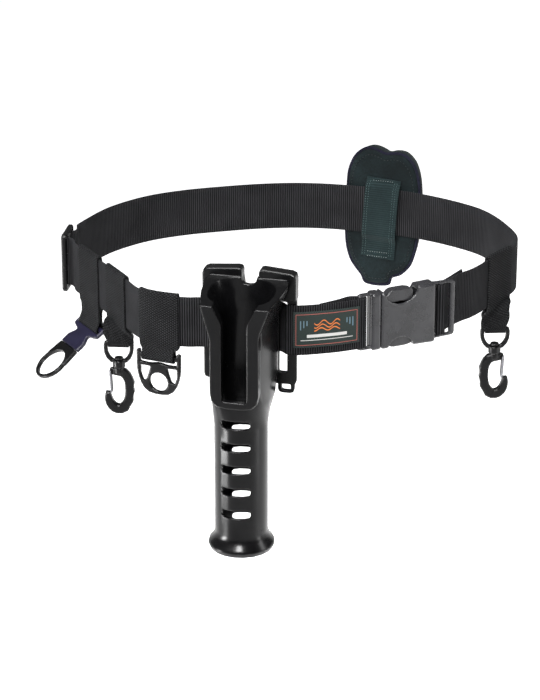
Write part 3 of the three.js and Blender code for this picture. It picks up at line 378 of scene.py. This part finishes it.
def span(tree, value, low, high):
    node = tree.nodes.new("ShaderNodeMapRange")
    node.inputs["To Min"].default_value = low
    node.inputs["To Max"].default_value = high
    tree.links.new(value, node.inputs["Value"])
    return node.outputs["Result"]


# %% Webbing
def webbing(name, dark, light, rib, yarn, phase, depth):
    """Ribs run across the strip and yarns along it, in millimetres. From one yarn to the next the
    ribs step on by a share of half a turn: none gives plain ribs, and one whole gives dots."""
    finish, tree, shader = new_finish(name, 0.75, 0.04)
    shader.inputs["Sheen Weight"].default_value = 0.015
    shader.inputs["Sheen Roughness"].default_value = 0.4
    shader.inputs["Sheen Tint"].default_value = (0.6, 0.62, 0.66, 1)
    coords = tree.nodes.new("ShaderNodeUVMap").outputs["UV"]
    split = tree.nodes.new("ShaderNodeSeparateXYZ")
    tree.links.new(coords, split.inputs[0])
    wobble = noise(tree, coords, 90, 2)
    along = math_node(tree, "MULTIPLY", split.outputs["X"], 2 * math.pi / (rib * MM))
    along = math_node(tree, "ADD", along, math_node(tree, "MULTIPLY", wobble, 0.8))
    across = math_node(tree, "MULTIPLY", split.outputs["Y"], 1 / (yarn * MM))
    step = math_node(tree, "MULTIPLY", math_node(tree, "FLOOR", across), phase * math.pi)
    ribs = math_node(tree, "SINE", math_node(tree, "ADD", along, step))
    yarns = math_node(tree, "SINE", math_node(tree, "MULTIPLY", across, 2 * math.pi))
    crest = span(tree, ribs, 0.0, 1.0)
    crest.node.inputs["From Min"].default_value = -1.0
    strand = span(tree, yarns, 0.85 - 0.5 * phase, 1.0)
    strand.node.inputs["From Min"].default_value = -1.0
    cloth = math_node(tree, "MULTIPLY", crest, strand)
    fuzz = noise(tree, coords, 2600, 2, 0.6)
    height = math_node(tree, "ADD", cloth, math_node(tree, "MULTIPLY", fuzz, 0.25))
    worn = noise(tree, coords, 28, 4)
    # Colour by weave height: painted light on crests, painted shade in grooves, then mottled.
    painted_shade_and_mottle = math_node(tree, "MULTIPLY", height, span(tree, worn, 0.4, 1.25))
    colour = ramp(tree, painted_shade_and_mottle, [(0.15, dark), (0.95, light)])
    tree.links.new(colour, shader.inputs["Base Color"])
    tree.links.new(span(tree, fuzz, 0.65, 0.9), shader.inputs["Roughness"])
    bump(tree, shader, height, 0.9, depth * MM)
    return finish


# Webbing ramps: black yarn with painted shade in the grooves, up to painted light on the crests.
BLACK_YARN = (0.0004, 0.0004, 0.0005)
belt_webbing = webbing(
    "belt_webbing", BLACK_YARN, (0.019, 0.019, 0.0205), rib=2.3, yarn=1.3, phase=0, depth=0.6
)
strap_webbing = webbing(
    "strap_webbing", BLACK_YARN, (0.021, 0.0215, 0.0225), rib=2.5, yarn=2.0, phase=1, depth=0.7
)
print("webbing finishes made")


# %% Moulded plastic and steel
EDGE_RADIUS = 2.0 * MM            # how far the light is rounded off at an edge
EDGE_PROBES = 6                   # how often the shader looks for that edge
CONTRAST = 0.3                    # how far the scuffs lighten and darken the colour


def moulded(name, colour, roughness, grain=0.06, specular=0.3):
    """Satin plastic, steel or thread. Its shade and gloss vary a little with the scuffs."""
    finish, tree, shader = new_finish(name, roughness, specular)
    coords = tree.nodes.new("ShaderNodeTexCoord").outputs["Object"]
    scuff = noise(tree, coords, 55, 5, 0.65)
    fine = noise(tree, coords, 2200, 2)
    shade = [channel * (1 - CONTRAST) for channel in colour]
    bright = [channel * (1 + CONTRAST) for channel in colour]
    tree.links.new(ramp(tree, scuff, [(0.3, shade), (0.75, bright)]), shader.inputs["Base Color"])
    rough = span(tree, scuff, roughness - 0.08, roughness + 0.12)
    tree.links.new(rough, shader.inputs["Roughness"])
    skin = bump(tree, shader, fine, grain, 0.2 * MM)
    soften = tree.nodes.new("ShaderNodeBevel")
    soften.samples = EDGE_PROBES
    soften.inputs["Radius"].default_value = EDGE_RADIUS
    tree.links.new(soften.outputs["Normal"], skin.inputs["Normal"])
    return finish


holder_plastic = moulded(
    "holder_plastic", (0.0015, 0.0015, 0.0017), 0.22, grain=0.03, specular=0.2
)
buckle_plastic = moulded("buckle_plastic", (0.012, 0.012, 0.0135), 0.26, grain=0.1, specular=0.5)
fitting_plastic = moulded("fitting_plastic", (0.002, 0.002, 0.0022), 0.24, specular=0.2)
clip_plastic = moulded("clip_plastic", (0.005, 0.0045, 0.013), 0.34)
gate_steel = moulded("gate_steel", (0.16, 0.16, 0.17), 0.4)
gate_steel.node_tree.nodes["Principled BSDF"].inputs["Metallic"].default_value = 1.0
print("plastic and steel finishes made")


# %% Pouch cloth, keeper cloth and thread
def pack_cloth(name, dark, light, weave, ribbed=False):
    """A weave with a pitch in millimetres, read from Object coordinates, because a remeshed pad has
    no UV map. A ribbed one has level ribs only."""
    finish, tree, shader = new_finish(name, 0.85, 0.08)
    shader.inputs["Sheen Weight"].default_value = 0.02
    shader.inputs["Sheen Roughness"].default_value = 0.5
    coords = tree.nodes.new("ShaderNodeTexCoord").outputs["Object"]
    split = tree.nodes.new("ShaderNodeSeparateXYZ")
    tree.links.new(coords, split.inputs[0])
    turns = 2 * math.pi / (weave * MM)
    warp = math_node(tree, "SINE", math_node(tree, "MULTIPLY", split.outputs["X"], turns))
    weft = math_node(tree, "SINE", math_node(tree, "MULTIPLY", split.outputs["Z"], turns))
    cell = weft if ribbed else math_node(tree, "MULTIPLY", warp, weft)
    fuzz = noise(tree, coords, 420, 4, 0.7)
    height = math_node(tree, "ADD", math_node(tree, "MULTIPLY", cell, 0.3), fuzz)
    cloud = noise(tree, coords, 34, 4)
    # Colour by weave height: painted light on ribs, painted shade between, plus random mottle.
    painted_shade_and_mottle = math_node(tree, "MULTIPLY", height, span(tree, cloud, 0.0, 1.7))
    tree.links.new(ramp(tree, painted_shade_and_mottle, [(0.15, dark), (0.8, light)]), shader.inputs["Base Color"])
    bump(tree, shader, height, 0.6, 0.25 * MM)
    return finish


pouch_cloth = pack_cloth("pouch_cloth", (0.0005, 0.001, 0.0012), (0.006, 0.011, 0.012), 1.6)
binding_cloth = pack_cloth("binding_cloth", (0.001, 0.001, 0.003), (0.008, 0.008, 0.018), 1.2)
keeper_cloth = pack_cloth(
    "keeper_cloth", (0.002, 0.005, 0.0055), (0.009, 0.0165, 0.017), 2.3, ribbed=True
)
thread_black = moulded("thread_black", (0.012, 0.013, 0.014), 0.7)
thread_teal = moulded("thread_teal", (0.05, 0.085, 0.085), 0.7)
thread_grey = moulded("thread_grey", (0.2, 0.23, 0.23), 0.7)
print("cloth and thread finishes made")

# %% [markdown]
# ## The hard pieces
# The frame's own nodes already have the shape of the moulded pieces, so they stay and are finished.
# They could be modelled again here, but then two shapes of one piece would have to agree. Real
# mouldings never have a knife edge. A weld and a small bevel round each edge, which catches the
# light as the real radius does, and a weighted normal keeps the flat faces flat.

# %% Finish the moulded nodes
# Finish, then the radius in millimetres and the least angle in degrees of the rounded edges.
HARD_NODES = {
    "rod_holder": (holder_plastic, 1.3, 32),
    "buckle_female": (buckle_plastic, 1.2, 32),
    "buckle_male": (buckle_plastic, 1.0, 32),
    "slider": (fitting_plastic, 0.8, 32),
    "hook_eye_left": (fitting_plastic, 0.9, 30),
    "hook_eye_right": (fitting_plastic, 0.9, 30),
    "hook_body_left": (fitting_plastic, 1.0, 24),
    "hook_body_right": (fitting_plastic, 1.0, 24),
    "hook_gate_left": (gate_steel, 0.15, 32),
    "hook_gate_right": (gate_steel, 0.15, 32),
    "d_ring": (fitting_plastic, 0.6, 32),
    "bottle_clip": (clip_plastic, 0.6, 32),
    "bottle_ring": (fitting_plastic, 0.6, 32),
}


def finish_node(node, finish, radius, least_angle):
    piece = frame["nodes"][node]
    piece.data.materials.clear()
    piece.data.materials.append(finish)
    for face in piece.data.polygons:
        face.material_index = 0
        face.use_smooth = True
    add_modifier(piece, "WELD", merge_threshold=SAME_PLACE)
    add_modifier(piece, "DECIMATE", decimate_type="DISSOLVE", angle_limit=FLAT_ANGLE)
    round_edges(piece, radius * MM, 3, least_angle, harden_normals=True, use_clamp_overlap=True)
    add_modifier(piece, "WEIGHTED_NORMAL", keep_sharp=True, weight=50)


for hard_node, how in HARD_NODES.items():
    finish_node(hard_node, *how)
print("finished", len(HARD_NODES), "moulded nodes")

# %% [markdown]
# ## The belt
# One length of webbing runs from the fold at the buckle's ladder round the waist to the fold at the
# other half of the buckle. A curve with a flat profile could make it. It is a strip along the
# frame's line instead, so that its UV map runs in metres, and Solidify gives it its thickness.

# %% Webbing belt
BELT_WIDTH = 50 * MM
BELT_THICKNESS = 1.8 * MM
BELT_ROWS = 9


def belt_spot(column, share):
    return belt_line.points[column] + UP * (share - 0.5) * BELT_WIDTH


belt_mesh = strip(len(belt_line.points), BELT_ROWS, belt_spot, belt_line.distances, BELT_WIDTH)
belt_piece = place_piece("belt_strip", belt_mesh, "belt", belt_webbing, ["webbing_belt"])
give_thickness(belt_piece, BELT_THICKNESS, radius=0.5 * MM)
print("belt strip", len(belt_piece.data.polygons), "faces")

# %% [markdown]
# ## The hanging straps
# Each strap is one loop of webbing: up the front of the belt, over it, down the back, and round the
# bar of a ring. Below the belt it is gathered to fit the ring, so it crumples in slanting pleats.
# The loop is a strip whose line lies in the plane across the belt, and its width and turn change
# on the way down. Cloth could be hung there, but a strip that is worked out meets the belt and the
# bar of the ring just where the frame has them.

# %% Hanging straps
STRAP_WIDTH = 42 * MM
STRAP_THICKNESS = 1.5 * MM
STRAP_ROWS = 27
STRAP_STEP = 1.4 * MM             # from one column of its grid to the next, at most
SEAM_GAP = 1e-5                   # points closer than this along a seam are one point
BAND_OFFSET = 2.1 * MM            # middle of the strap from the middle of the belt
FOLD_RADIUS = 4.0 * MM            # middle of the strap from the middle of the ring's bar
FOLD_DEGREES = (0, 30, 60, 90, 118)               # from under the bar up its front
BAND_TOP = 25.4 * MM              # just above the upper edge of the belt
BAND_BOTTOM = -25.6 * MM          # just under its lower edge
NECK_OFFSETS = (1.7 * MM, 1.5 * MM, 1.9 * MM)     # above the ring, halfway, and under the belt


def strap_profile(bar, sag):
    """Half of the loop from under the bar up the front to the top: offset outwards and height."""
    fold = FOLD_RADIUS + sag
    rows = [
        (fold * math.sin(math.radians(a)), bar - fold * math.cos(math.radians(a)))
        for a in FOLD_DEGREES
    ]
    low = bar + FOLD_RADIUS * 2.1
    if low < BAND_BOTTOM - 4 * MM:
        rows.append((NECK_OFFSETS[0], low))
        rows.append((NECK_OFFSETS[1], (low + BAND_BOTTOM - 2 * MM) / 2))
    rows += [(NECK_OFFSETS[2], BAND_BOTTOM - 1 * MM), (BAND_OFFSET, BAND_BOTTOM + 3 * MM)]
    rows += [(BAND_OFFSET, 0), (BAND_OFFSET, BAND_TOP)]
    rows += [(BAND_OFFSET * 0.72, BAND_TOP + BAND_OFFSET * 0.7), (0, BAND_TOP + BAND_OFFSET)]
    return rows


def smooth_step(low, high, value):
    share = min(max((value - low) / (high - low), 0.0), 1.0)
    return share * share * (3 - 2 * share)


def pleats(share, height):
    """Two waves that slant opposite ways across a sleeve."""
    wave = math.sin(2 * math.pi * (2.6 * share + height / (15 * MM)))
    return wave + 0.5 * math.sin(2 * math.pi * (4.3 * share - height / (11 * MM)) + 1.2)


def hanging_strap(node, joint, fold_width, bunch=None, sag=0.0):
    """A strap round the belt and the joint's bar, where it is fold_width wide. bunch gives the
    width of the gathered sleeve, how far it swells and how it slants. sag makes the fold wider."""
    centre = Vector(joints[joint]["pos_m"])
    axis = Vector(joints[joint]["axis"])
    spot = belt_line.nearest(Vector((centre.x, centre.y, 0)))
    run = belt_line.along(spot)
    if run.dot(axis) < 0:
        axis = -axis
    half = strap_profile(centre.z, sag)
    loop = [Vector((d, 0, z)) for d, z in half] + [Vector((-d, 0, z)) for d, z in half[-2::-1]]
    line = Line(loop, STRAP_STEP)
    line_axis = axis.cross(UP)
    width, swell, slant = bunch or (fold_width / MM, 0.4, 0.0)
    narrowing = (9 if bunch else 5) * MM
    sleeve_top = BAND_BOTTOM - 1 * MM
    sleeve_end = sleeve_top - narrowing

    def place(column, share):
        point = line.points[column]
        offset, height = point.x, point.z
        ease = smooth_step(-sleeve_top, -sleeve_end, -height)
        gathered = ease * smooth_step(centre.z + 1.5 * MM, centre.z + 5 * MM, height)
        lateral = (share - 0.5) * STRAP_WIDTH
        at_belt = belt_line.at(spot + lateral)
        out = belt_line.along(spot + lateral).cross(UP)
        target = fold_width + (width * MM - fold_width) * gathered
        narrow = lateral * (1 + (target / STRAP_WIDTH - 1) * ease)
        side = 1 if offset > 0 else -1
        crown = 0.8 + 0.18 * pleats(share, height) - (2.4 * (share - 0.5)) ** 2 * 0.5
        bulge = swell * MM * gathered * crown * side
        band = at_belt + out * offset
        sleeve = Vector((centre.x, centre.y, 0)) + axis * narrow + line_axis * (offset + bulge)
        drop = slant * narrow * gathered
        return band.lerp(sleeve, ease) + UP * (height + drop)

    mesh = strip(len(line.points), STRAP_ROWS, place, line.distances, STRAP_WIDTH)
    bmesh.ops.remove_doubles(mesh, verts=mesh.verts, dist=SEAM_GAP)
    piece = place_piece(node + "_loop", mesh, "belt", strap_webbing, [node])
    give_thickness(piece, STRAP_THICKNESS, radius=0.35 * MM)
    print(node, "loop length in metres", round(line.length, 3))


hanging_strap("ring_strap", "bottle_clip_swing", 39 * MM, sag=0.75 * MM)
hanging_strap("hook_strap_left", "eye_left_swing", 20 * MM, (29, 3.4, -0.5))
hanging_strap("d_strap", "d_ring_swing", 33 * MM)
hanging_strap("hook_strap_right", "eye_right_swing", 20 * MM, (27, 3.4, 0.5))
print("straps made")

# %% [markdown]
# ## The label
# A patch of printed cloth is sewn to the front of the belt. It has a dark field, a thin warm border
# and a plain ornament of waves, bars and strokes. A picture could carry them, but nodes draw them
# on the UV map, so they stay sharp and need no file. The threads of the hem are small solids.

# %% Label finish
LABEL_LENGTH = 65 * MM
LABEL_HEIGHT = 36 * MM
# The ornament is in millimetres from the lower left corner.
BORDER_INSET, BORDER_WIDTH = 2.4, 0.5
WAVES = [(24.5, 2.2), (21.0, 1.8), (17.8, 1.4)]                # height and swing
WAVE_LENGTH, WAVE_HALF_WIDTH, WAVE_ENDS = 13, 0.55, (20, 45)
BARS = [((13, 52), 11.5, 1.5), ((7, 58), 7.4, 0.35)]           # ends, height and half width
STROKES = [(7, 9), (10, 7), (13, 5), (52, 5), (55, 7), (58, 9)]     # place and length
STROKE_TOP, STROKE_HALF_WIDTH = 27, 0.5
LABEL_WEAVE = 0.8


def label_finish():
    finish, tree, shader = new_finish("label_print", 0.6, 0.15)
    coords = tree.nodes.new("ShaderNodeUVMap").outputs["UV"]
    split = tree.nodes.new("ShaderNodeSeparateXYZ")
    tree.links.new(coords, split.inputs[0])
    x, y = split.outputs["X"], split.outputs["Y"]

    def near(value, middle, half):
        gap = math_node(tree, "ABSOLUTE", math_node(tree, "SUBTRACT", value, middle))
        return math_node(tree, "LESS_THAN", gap, half)

    def within(value, low, high):
        return near(value, (low + high) / 2, (high - low) / 2)

    def times(*values):
        whole = values[0]
        for value in values[1:]:
            whole = math_node(tree, "MULTIPLY", whole, value)
        return whole

    def either(*values):
        whole = values[0]
        for value in values[1:]:
            whole = math_node(tree, "MAXIMUM", whole, value)
        return whole

    inset, line = BORDER_INSET * MM, BORDER_WIDTH * MM
    in_x = within(x, inset, LABEL_LENGTH - inset)
    in_y = within(y, inset, LABEL_HEIGHT - inset)
    core_x = within(x, inset + line, LABEL_LENGTH - inset - line)
    core_y = within(y, inset + line, LABEL_HEIGHT - inset - line)
    core = times(core_x, core_y)
    border = math_node(tree, "SUBTRACT", times(in_x, in_y), core)
    waves = []
    reach = within(x, WAVE_ENDS[0] * MM, WAVE_ENDS[1] * MM)
    for row, (middle, swing) in enumerate(WAVES):
        turn = math_node(tree, "MULTIPLY", x, 2 * math.pi / (WAVE_LENGTH * MM))
        rise = math_node(tree, "SINE", math_node(tree, "ADD", turn, 0.6 * row))
        level = math_node(tree, "MULTIPLY_ADD", rise, swing * MM)
        level.node.inputs[2].default_value = middle * MM
        gap = math_node(tree, "ABSOLUTE", math_node(tree, "SUBTRACT", y, level))
        waves.append(times(math_node(tree, "LESS_THAN", gap, WAVE_HALF_WIDTH * MM), reach))
    bars = [
        times(within(x, low * MM, high * MM), near(y, middle * MM, half * MM))
        for (low, high), middle, half in BARS
    ]
    strokes = [
        times(
            near(x, place * MM, STROKE_HALF_WIDTH * MM),
            within(y, (STROKE_TOP - tall) * MM, STROKE_TOP * MM),
        )
        for place, tall in STROKES
    ]
    fuzz = noise(tree, coords, 1800, 2)
    ground = ramp(tree, fuzz, [(0.2, (0.004, 0.008, 0.007)), (0.85, (0.014, 0.02, 0.018))])

    def layer(under, mask, colour):
        node = tree.nodes.new("ShaderNodeMix")
        node.data_type = "RGBA"
        tree.links.new(mask, node.inputs["Factor"])
        tree.links.new(under, node.inputs[6])
        node.inputs[7].default_value = (*colour, 1)
        return node.outputs[2]

    colour = layer(ground, border, (0.21, 0.055, 0.045))
    colour = layer(colour, either(*waves), (0.3, 0.085, 0.018))
    colour = layer(colour, either(*bars), (0.28, 0.28, 0.27))
    colour = layer(colour, either(*strokes), (0.06, 0.1, 0.125))
    tree.links.new(colour, shader.inputs["Base Color"])
    turns = 2 * math.pi / (LABEL_WEAVE * MM)
    weave_x = math_node(tree, "SINE", math_node(tree, "MULTIPLY", x, turns))
    weave_y = math_node(tree, "SINE", math_node(tree, "MULTIPLY", y, turns))
    bump(tree, shader, math_node(tree, "MULTIPLY", weave_x, weave_y), 0.35, 0.12 * MM)
    return finish


# %% Label patch
LABEL_THICKNESS = 0.8 * MM
LABEL_ROWS = 9
LABEL_STEP = 2 * MM

label_line = Line(plan_line("label_patch"), LABEL_STEP)
if (label_line.points[-1] - label_line.points[0]).x < 0:
    label_line = Line(plan_line("label_patch")[::-1], LABEL_STEP)
label_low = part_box("label_patch")[0]


def label_spot(column, share):
    return label_line.points[column] + UP * (label_low.z + share * LABEL_HEIGHT)


label_mesh = strip(
    len(label_line.points), LABEL_ROWS, label_spot, label_line.distances, LABEL_HEIGHT
)
label_piece = place_piece("label", label_mesh, "belt", label_finish(), ["label_patch"])
give_thickness(label_piece, LABEL_THICKNESS, radius=0.25 * MM)
print("label length", round(label_line.length, 4))


# %% Stitches
def stitches(name, runs, finish, length, gap, radius):
    """Short threads along each run, a list of points. Sizes are in millimetres."""
    mesh = bmesh.new()
    count = 0
    for run in runs:
        line = Line(run, 2 * MM)
        number = max(1, round(line.length / ((length + gap) * MM)))
        for i in range(number):
            middle = (i + 0.5) * line.length / number
            turn = line.along(middle).to_track_quat("X", "Z").to_matrix().to_4x4()
            scale = Matrix.Diagonal((length / 2 * MM, radius * MM, radius * MM, 1))
            spot = Matrix.Translation(line.at(middle)) @ turn @ scale
            bmesh.ops.create_icosphere(mesh, subdivisions=1, radius=1, matrix=spot)
            count += 1
    print(name, count, "stitches")
    place_piece(name, mesh, "belt", finish)


HEM = 1.1 * MM                    # the hem's thread from the edge of the label
HEM_LIFT = 0.45 * MM              # and outwards from the label's middle


def label_point(distance, height):
    out = label_line.along(distance).cross(UP)
    return label_line.at(distance) + out * HEM_LIFT + UP * (label_low.z + height)


label_steps = [HEM + (LABEL_LENGTH - 2 * HEM) * i / 12 for i in range(13)]
label_runs = [
    [label_point(d, height) for d in label_steps] for height in (HEM, LABEL_HEIGHT - HEM)
] + [
    [label_point(d, HEM + (LABEL_HEIGHT - 2 * HEM) * i / 6) for i in range(7)]
    for d in (HEM, LABEL_LENGTH - HEM)
]
stitches("label_hem", label_runs, thread_black, length=1.6, gap=0.7, radius=0.22)

# %% [markdown]
# ## The pouch
# The pouch is a stuffed shape. It could be sculpted, but it is made as padding is: the frame's
# solid is remeshed evenly, blown up a little as cloth, and smoothed. Its flat face and the edge
# round it keep their places, so the tape that binds them fits. A keeper strip on the inside holds
# the pouch to the belt, sewn above and below.

# %% Pouch body
VOXEL = 2.6 * MM
PRESSURE = 4.0
CLOTH_FRAMES = 20
MOST_SWELL = 2 * MM
HELD_DEPTH = 6 * MM               # from the flat face, what stays as it was
FREE_DEPTH = 15 * MM              # and from here on, what swells freely

pouch_mesh = merged_mesh("pouch")
pouch_face = max(pouch_mesh.faces, key=lambda face: face.calc_area())
inward = pouch_face.normal.copy()
rim = [vert.co.copy() for vert in pouch_face.verts]
pouch_middle = pouch_face.calc_center_median()
lateral = UP.cross(inward).normalized()
bmesh.ops.triangulate(pouch_mesh, faces=pouch_mesh.faces)
pouch_piece = place_piece("pouch_pad", pouch_mesh, "belt", pouch_cloth, ["pouch"])


def apply_modifier(piece, modifier):
    bpy.context.view_layer.objects.active = piece
    for other in bpy.context.selected_objects:
        other.select_set(False)
    piece.select_set(True)
    bpy.ops.object.modifier_apply(modifier=modifier.name)


def inflate(piece):
    """Remeshes a pad and swells it as cloth. The flat face and the bound edge are held, so that the
    binding stays on them, and no point moves further than the most swell."""
    remesh = add_modifier(piece, "REMESH", mode="VOXEL", voxel_size=VOXEL)
    apply_modifier(piece, remesh)
    before = [vert.co.copy() for vert in piece.data.vertices]
    cloth = add_modifier(piece, "CLOTH")
    cloth.settings.use_pressure = True
    cloth.settings.uniform_pressure_force = PRESSURE
    cloth.settings.effector_weights.gravity = 0
    for number in range(1, CLOTH_FRAMES + 1):
        bpy.context.scene.frame_set(number)
    apply_modifier(piece, cloth)
    bpy.context.scene.frame_set(1)
    for vert, was in zip(piece.data.vertices, before):
        move = vert.co - was
        if move.length > MOST_SWELL:
            move = move.normalized() * MOST_SWELL
        depth = (pouch_middle - was).dot(inward)
        vert.co = was + move * smooth_step(HELD_DEPTH, FREE_DEPTH, depth)
    for face in piece.data.polygons:
        face.use_smooth = True


inflate(pouch_piece)
add_modifier(pouch_piece, "SMOOTH", factor=0.5, iterations=2)
add_modifier(pouch_piece, "SUBSURF", levels=1, render_levels=1)
print("pouch pad", len(pouch_piece.data.polygons), "faces")

# %% Keeper strip
keeper_mesh = merged_mesh("pouch_keeper")
keeper_skin = BVHTree.FromBMesh(keeper_mesh)
keeper_low, keeper_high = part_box("pouch_keeper")
keeper_piece = place_piece(
    "keeper_strip", keeper_mesh, "belt", keeper_cloth, ["pouch_keeper"]
)
round_edges(keeper_piece, 1.2 * MM, segments=3, least_angle=12, harden_normals=True)
print("keeper strip made")

# %% [markdown]
# The pouch hangs on the back of the belt, so its inner face looks at the wearer. The way inwards is
# the direction of that flat face, which is the largest one of the frame's solid. The stitches of
# the keeper are laid on it by casting rays along that way, so they follow it over the belt.

# %% Binding and stitches of the pouch
THREAD_LIFT = 0.25 * MM           # middle of a thread from the cloth
RAY_START = 40 * MM               # how far inside the flat face the rays start
RAY_LENGTH = 0.1


def on_skin(skin, x, z):
    """The place where a ray from inside the loop meets a surface, x across and z up."""
    start = pouch_middle + inward * RAY_START + lateral * x + UP * (z - pouch_middle.z)
    hit = skin.ray_cast(start, -inward, RAY_LENGTH)[0]
    return hit + inward * THREAD_LIFT if hit else None


def sewn_run(skin, ends, count):
    """Places on a surface along a straight seam between two ends, each across and up."""
    (x0, z0), (x1, z1) = ends
    places = [
        on_skin(skin, x0 + (x1 - x0) * i / count, z0 + (z1 - z0) * i / count)
        for i in range(count + 1)
    ]
    return [place for place in places if place is not None]


def tube(name, line, finish, radius, sides):
    """A closed cord of the given radius round a line, laid as a rolled up strip."""

    def spot(column, share):
        along = line.along(min(max(line.distances[column], 2 * MM), line.length - 2 * MM))
        outwards = along.cross(inward).normalized()
        angle = 2 * math.pi * share
        reach = outwards * math.cos(angle) + inward * math.sin(angle)
        return line.points[column] + reach * radius

    mesh = strip(len(line.points), sides + 1, spot, line.distances, 2 * math.pi * radius)
    bmesh.ops.remove_doubles(mesh, verts=mesh.verts, dist=SEAM_GAP)
    place_piece(name, mesh, "belt", finish)
    print(name, "length in metres", round(line.length, 3))


def round_the_rim(across, up, lift):
    """The edge of the flat face, grown across and up and lifted off it, as a closed line."""
    places = []
    for place in [*rim, rim[0]]:
        gap = place - pouch_middle
        side = lateral * gap.dot(lateral) * across
        places.append(pouch_middle + side + UP * gap.z * up + inward * lift)
    return places


binding_line = Line(round_the_rim(across=1.07, up=1.035, lift=-3 * MM), 2.5 * MM)
tube("pouch_binding", binding_line, binding_cloth, radius=1.6 * MM, sides=8)

face_runs = [round_the_rim(across=0.93, up=0.94, lift=0.3 * MM)]
stitches("pouch_hem", face_runs, thread_black, length=2.2, gap=1.4, radius=0.3)

# The keeper leans by its tilt. Its seams are in millimetres across it and above the belt's middle.
KEEPER_TILT = math.tan(math.radians(4))
SIDE_SEAMS, SIDE_ENDS = (-15.8, -13.2, 13.2, 15.8), (33, -50)
END_SEAMS, END_ENDS = (33.5, -46, -51), (-11, 12)
keeper_middle = Vector(((keeper_low.x + keeper_high.x) / 2, pouch_middle.y, 0))
keeper_x = (keeper_middle - pouch_middle).dot(lateral)
lean = 1 if lateral.x > 0 else -1


def keeper_spot(x, z):
    return keeper_x + x * MM + lean * (z * MM) * KEEPER_TILT, z * MM


side_runs = [
    sewn_run(keeper_skin, [keeper_spot(x, z) for z in SIDE_ENDS], count=60) for x in SIDE_SEAMS
]
stitches("keeper_sides", side_runs, thread_teal, length=1.5, gap=1.3, radius=0.26)
end_runs = [
    sewn_run(keeper_skin, [keeper_spot(x, z) for x in END_ENDS], count=20) for z in END_SEAMS
]
stitches("keeper_ends", end_runs, thread_grey, length=1.4, gap=1.3, radius=0.3)
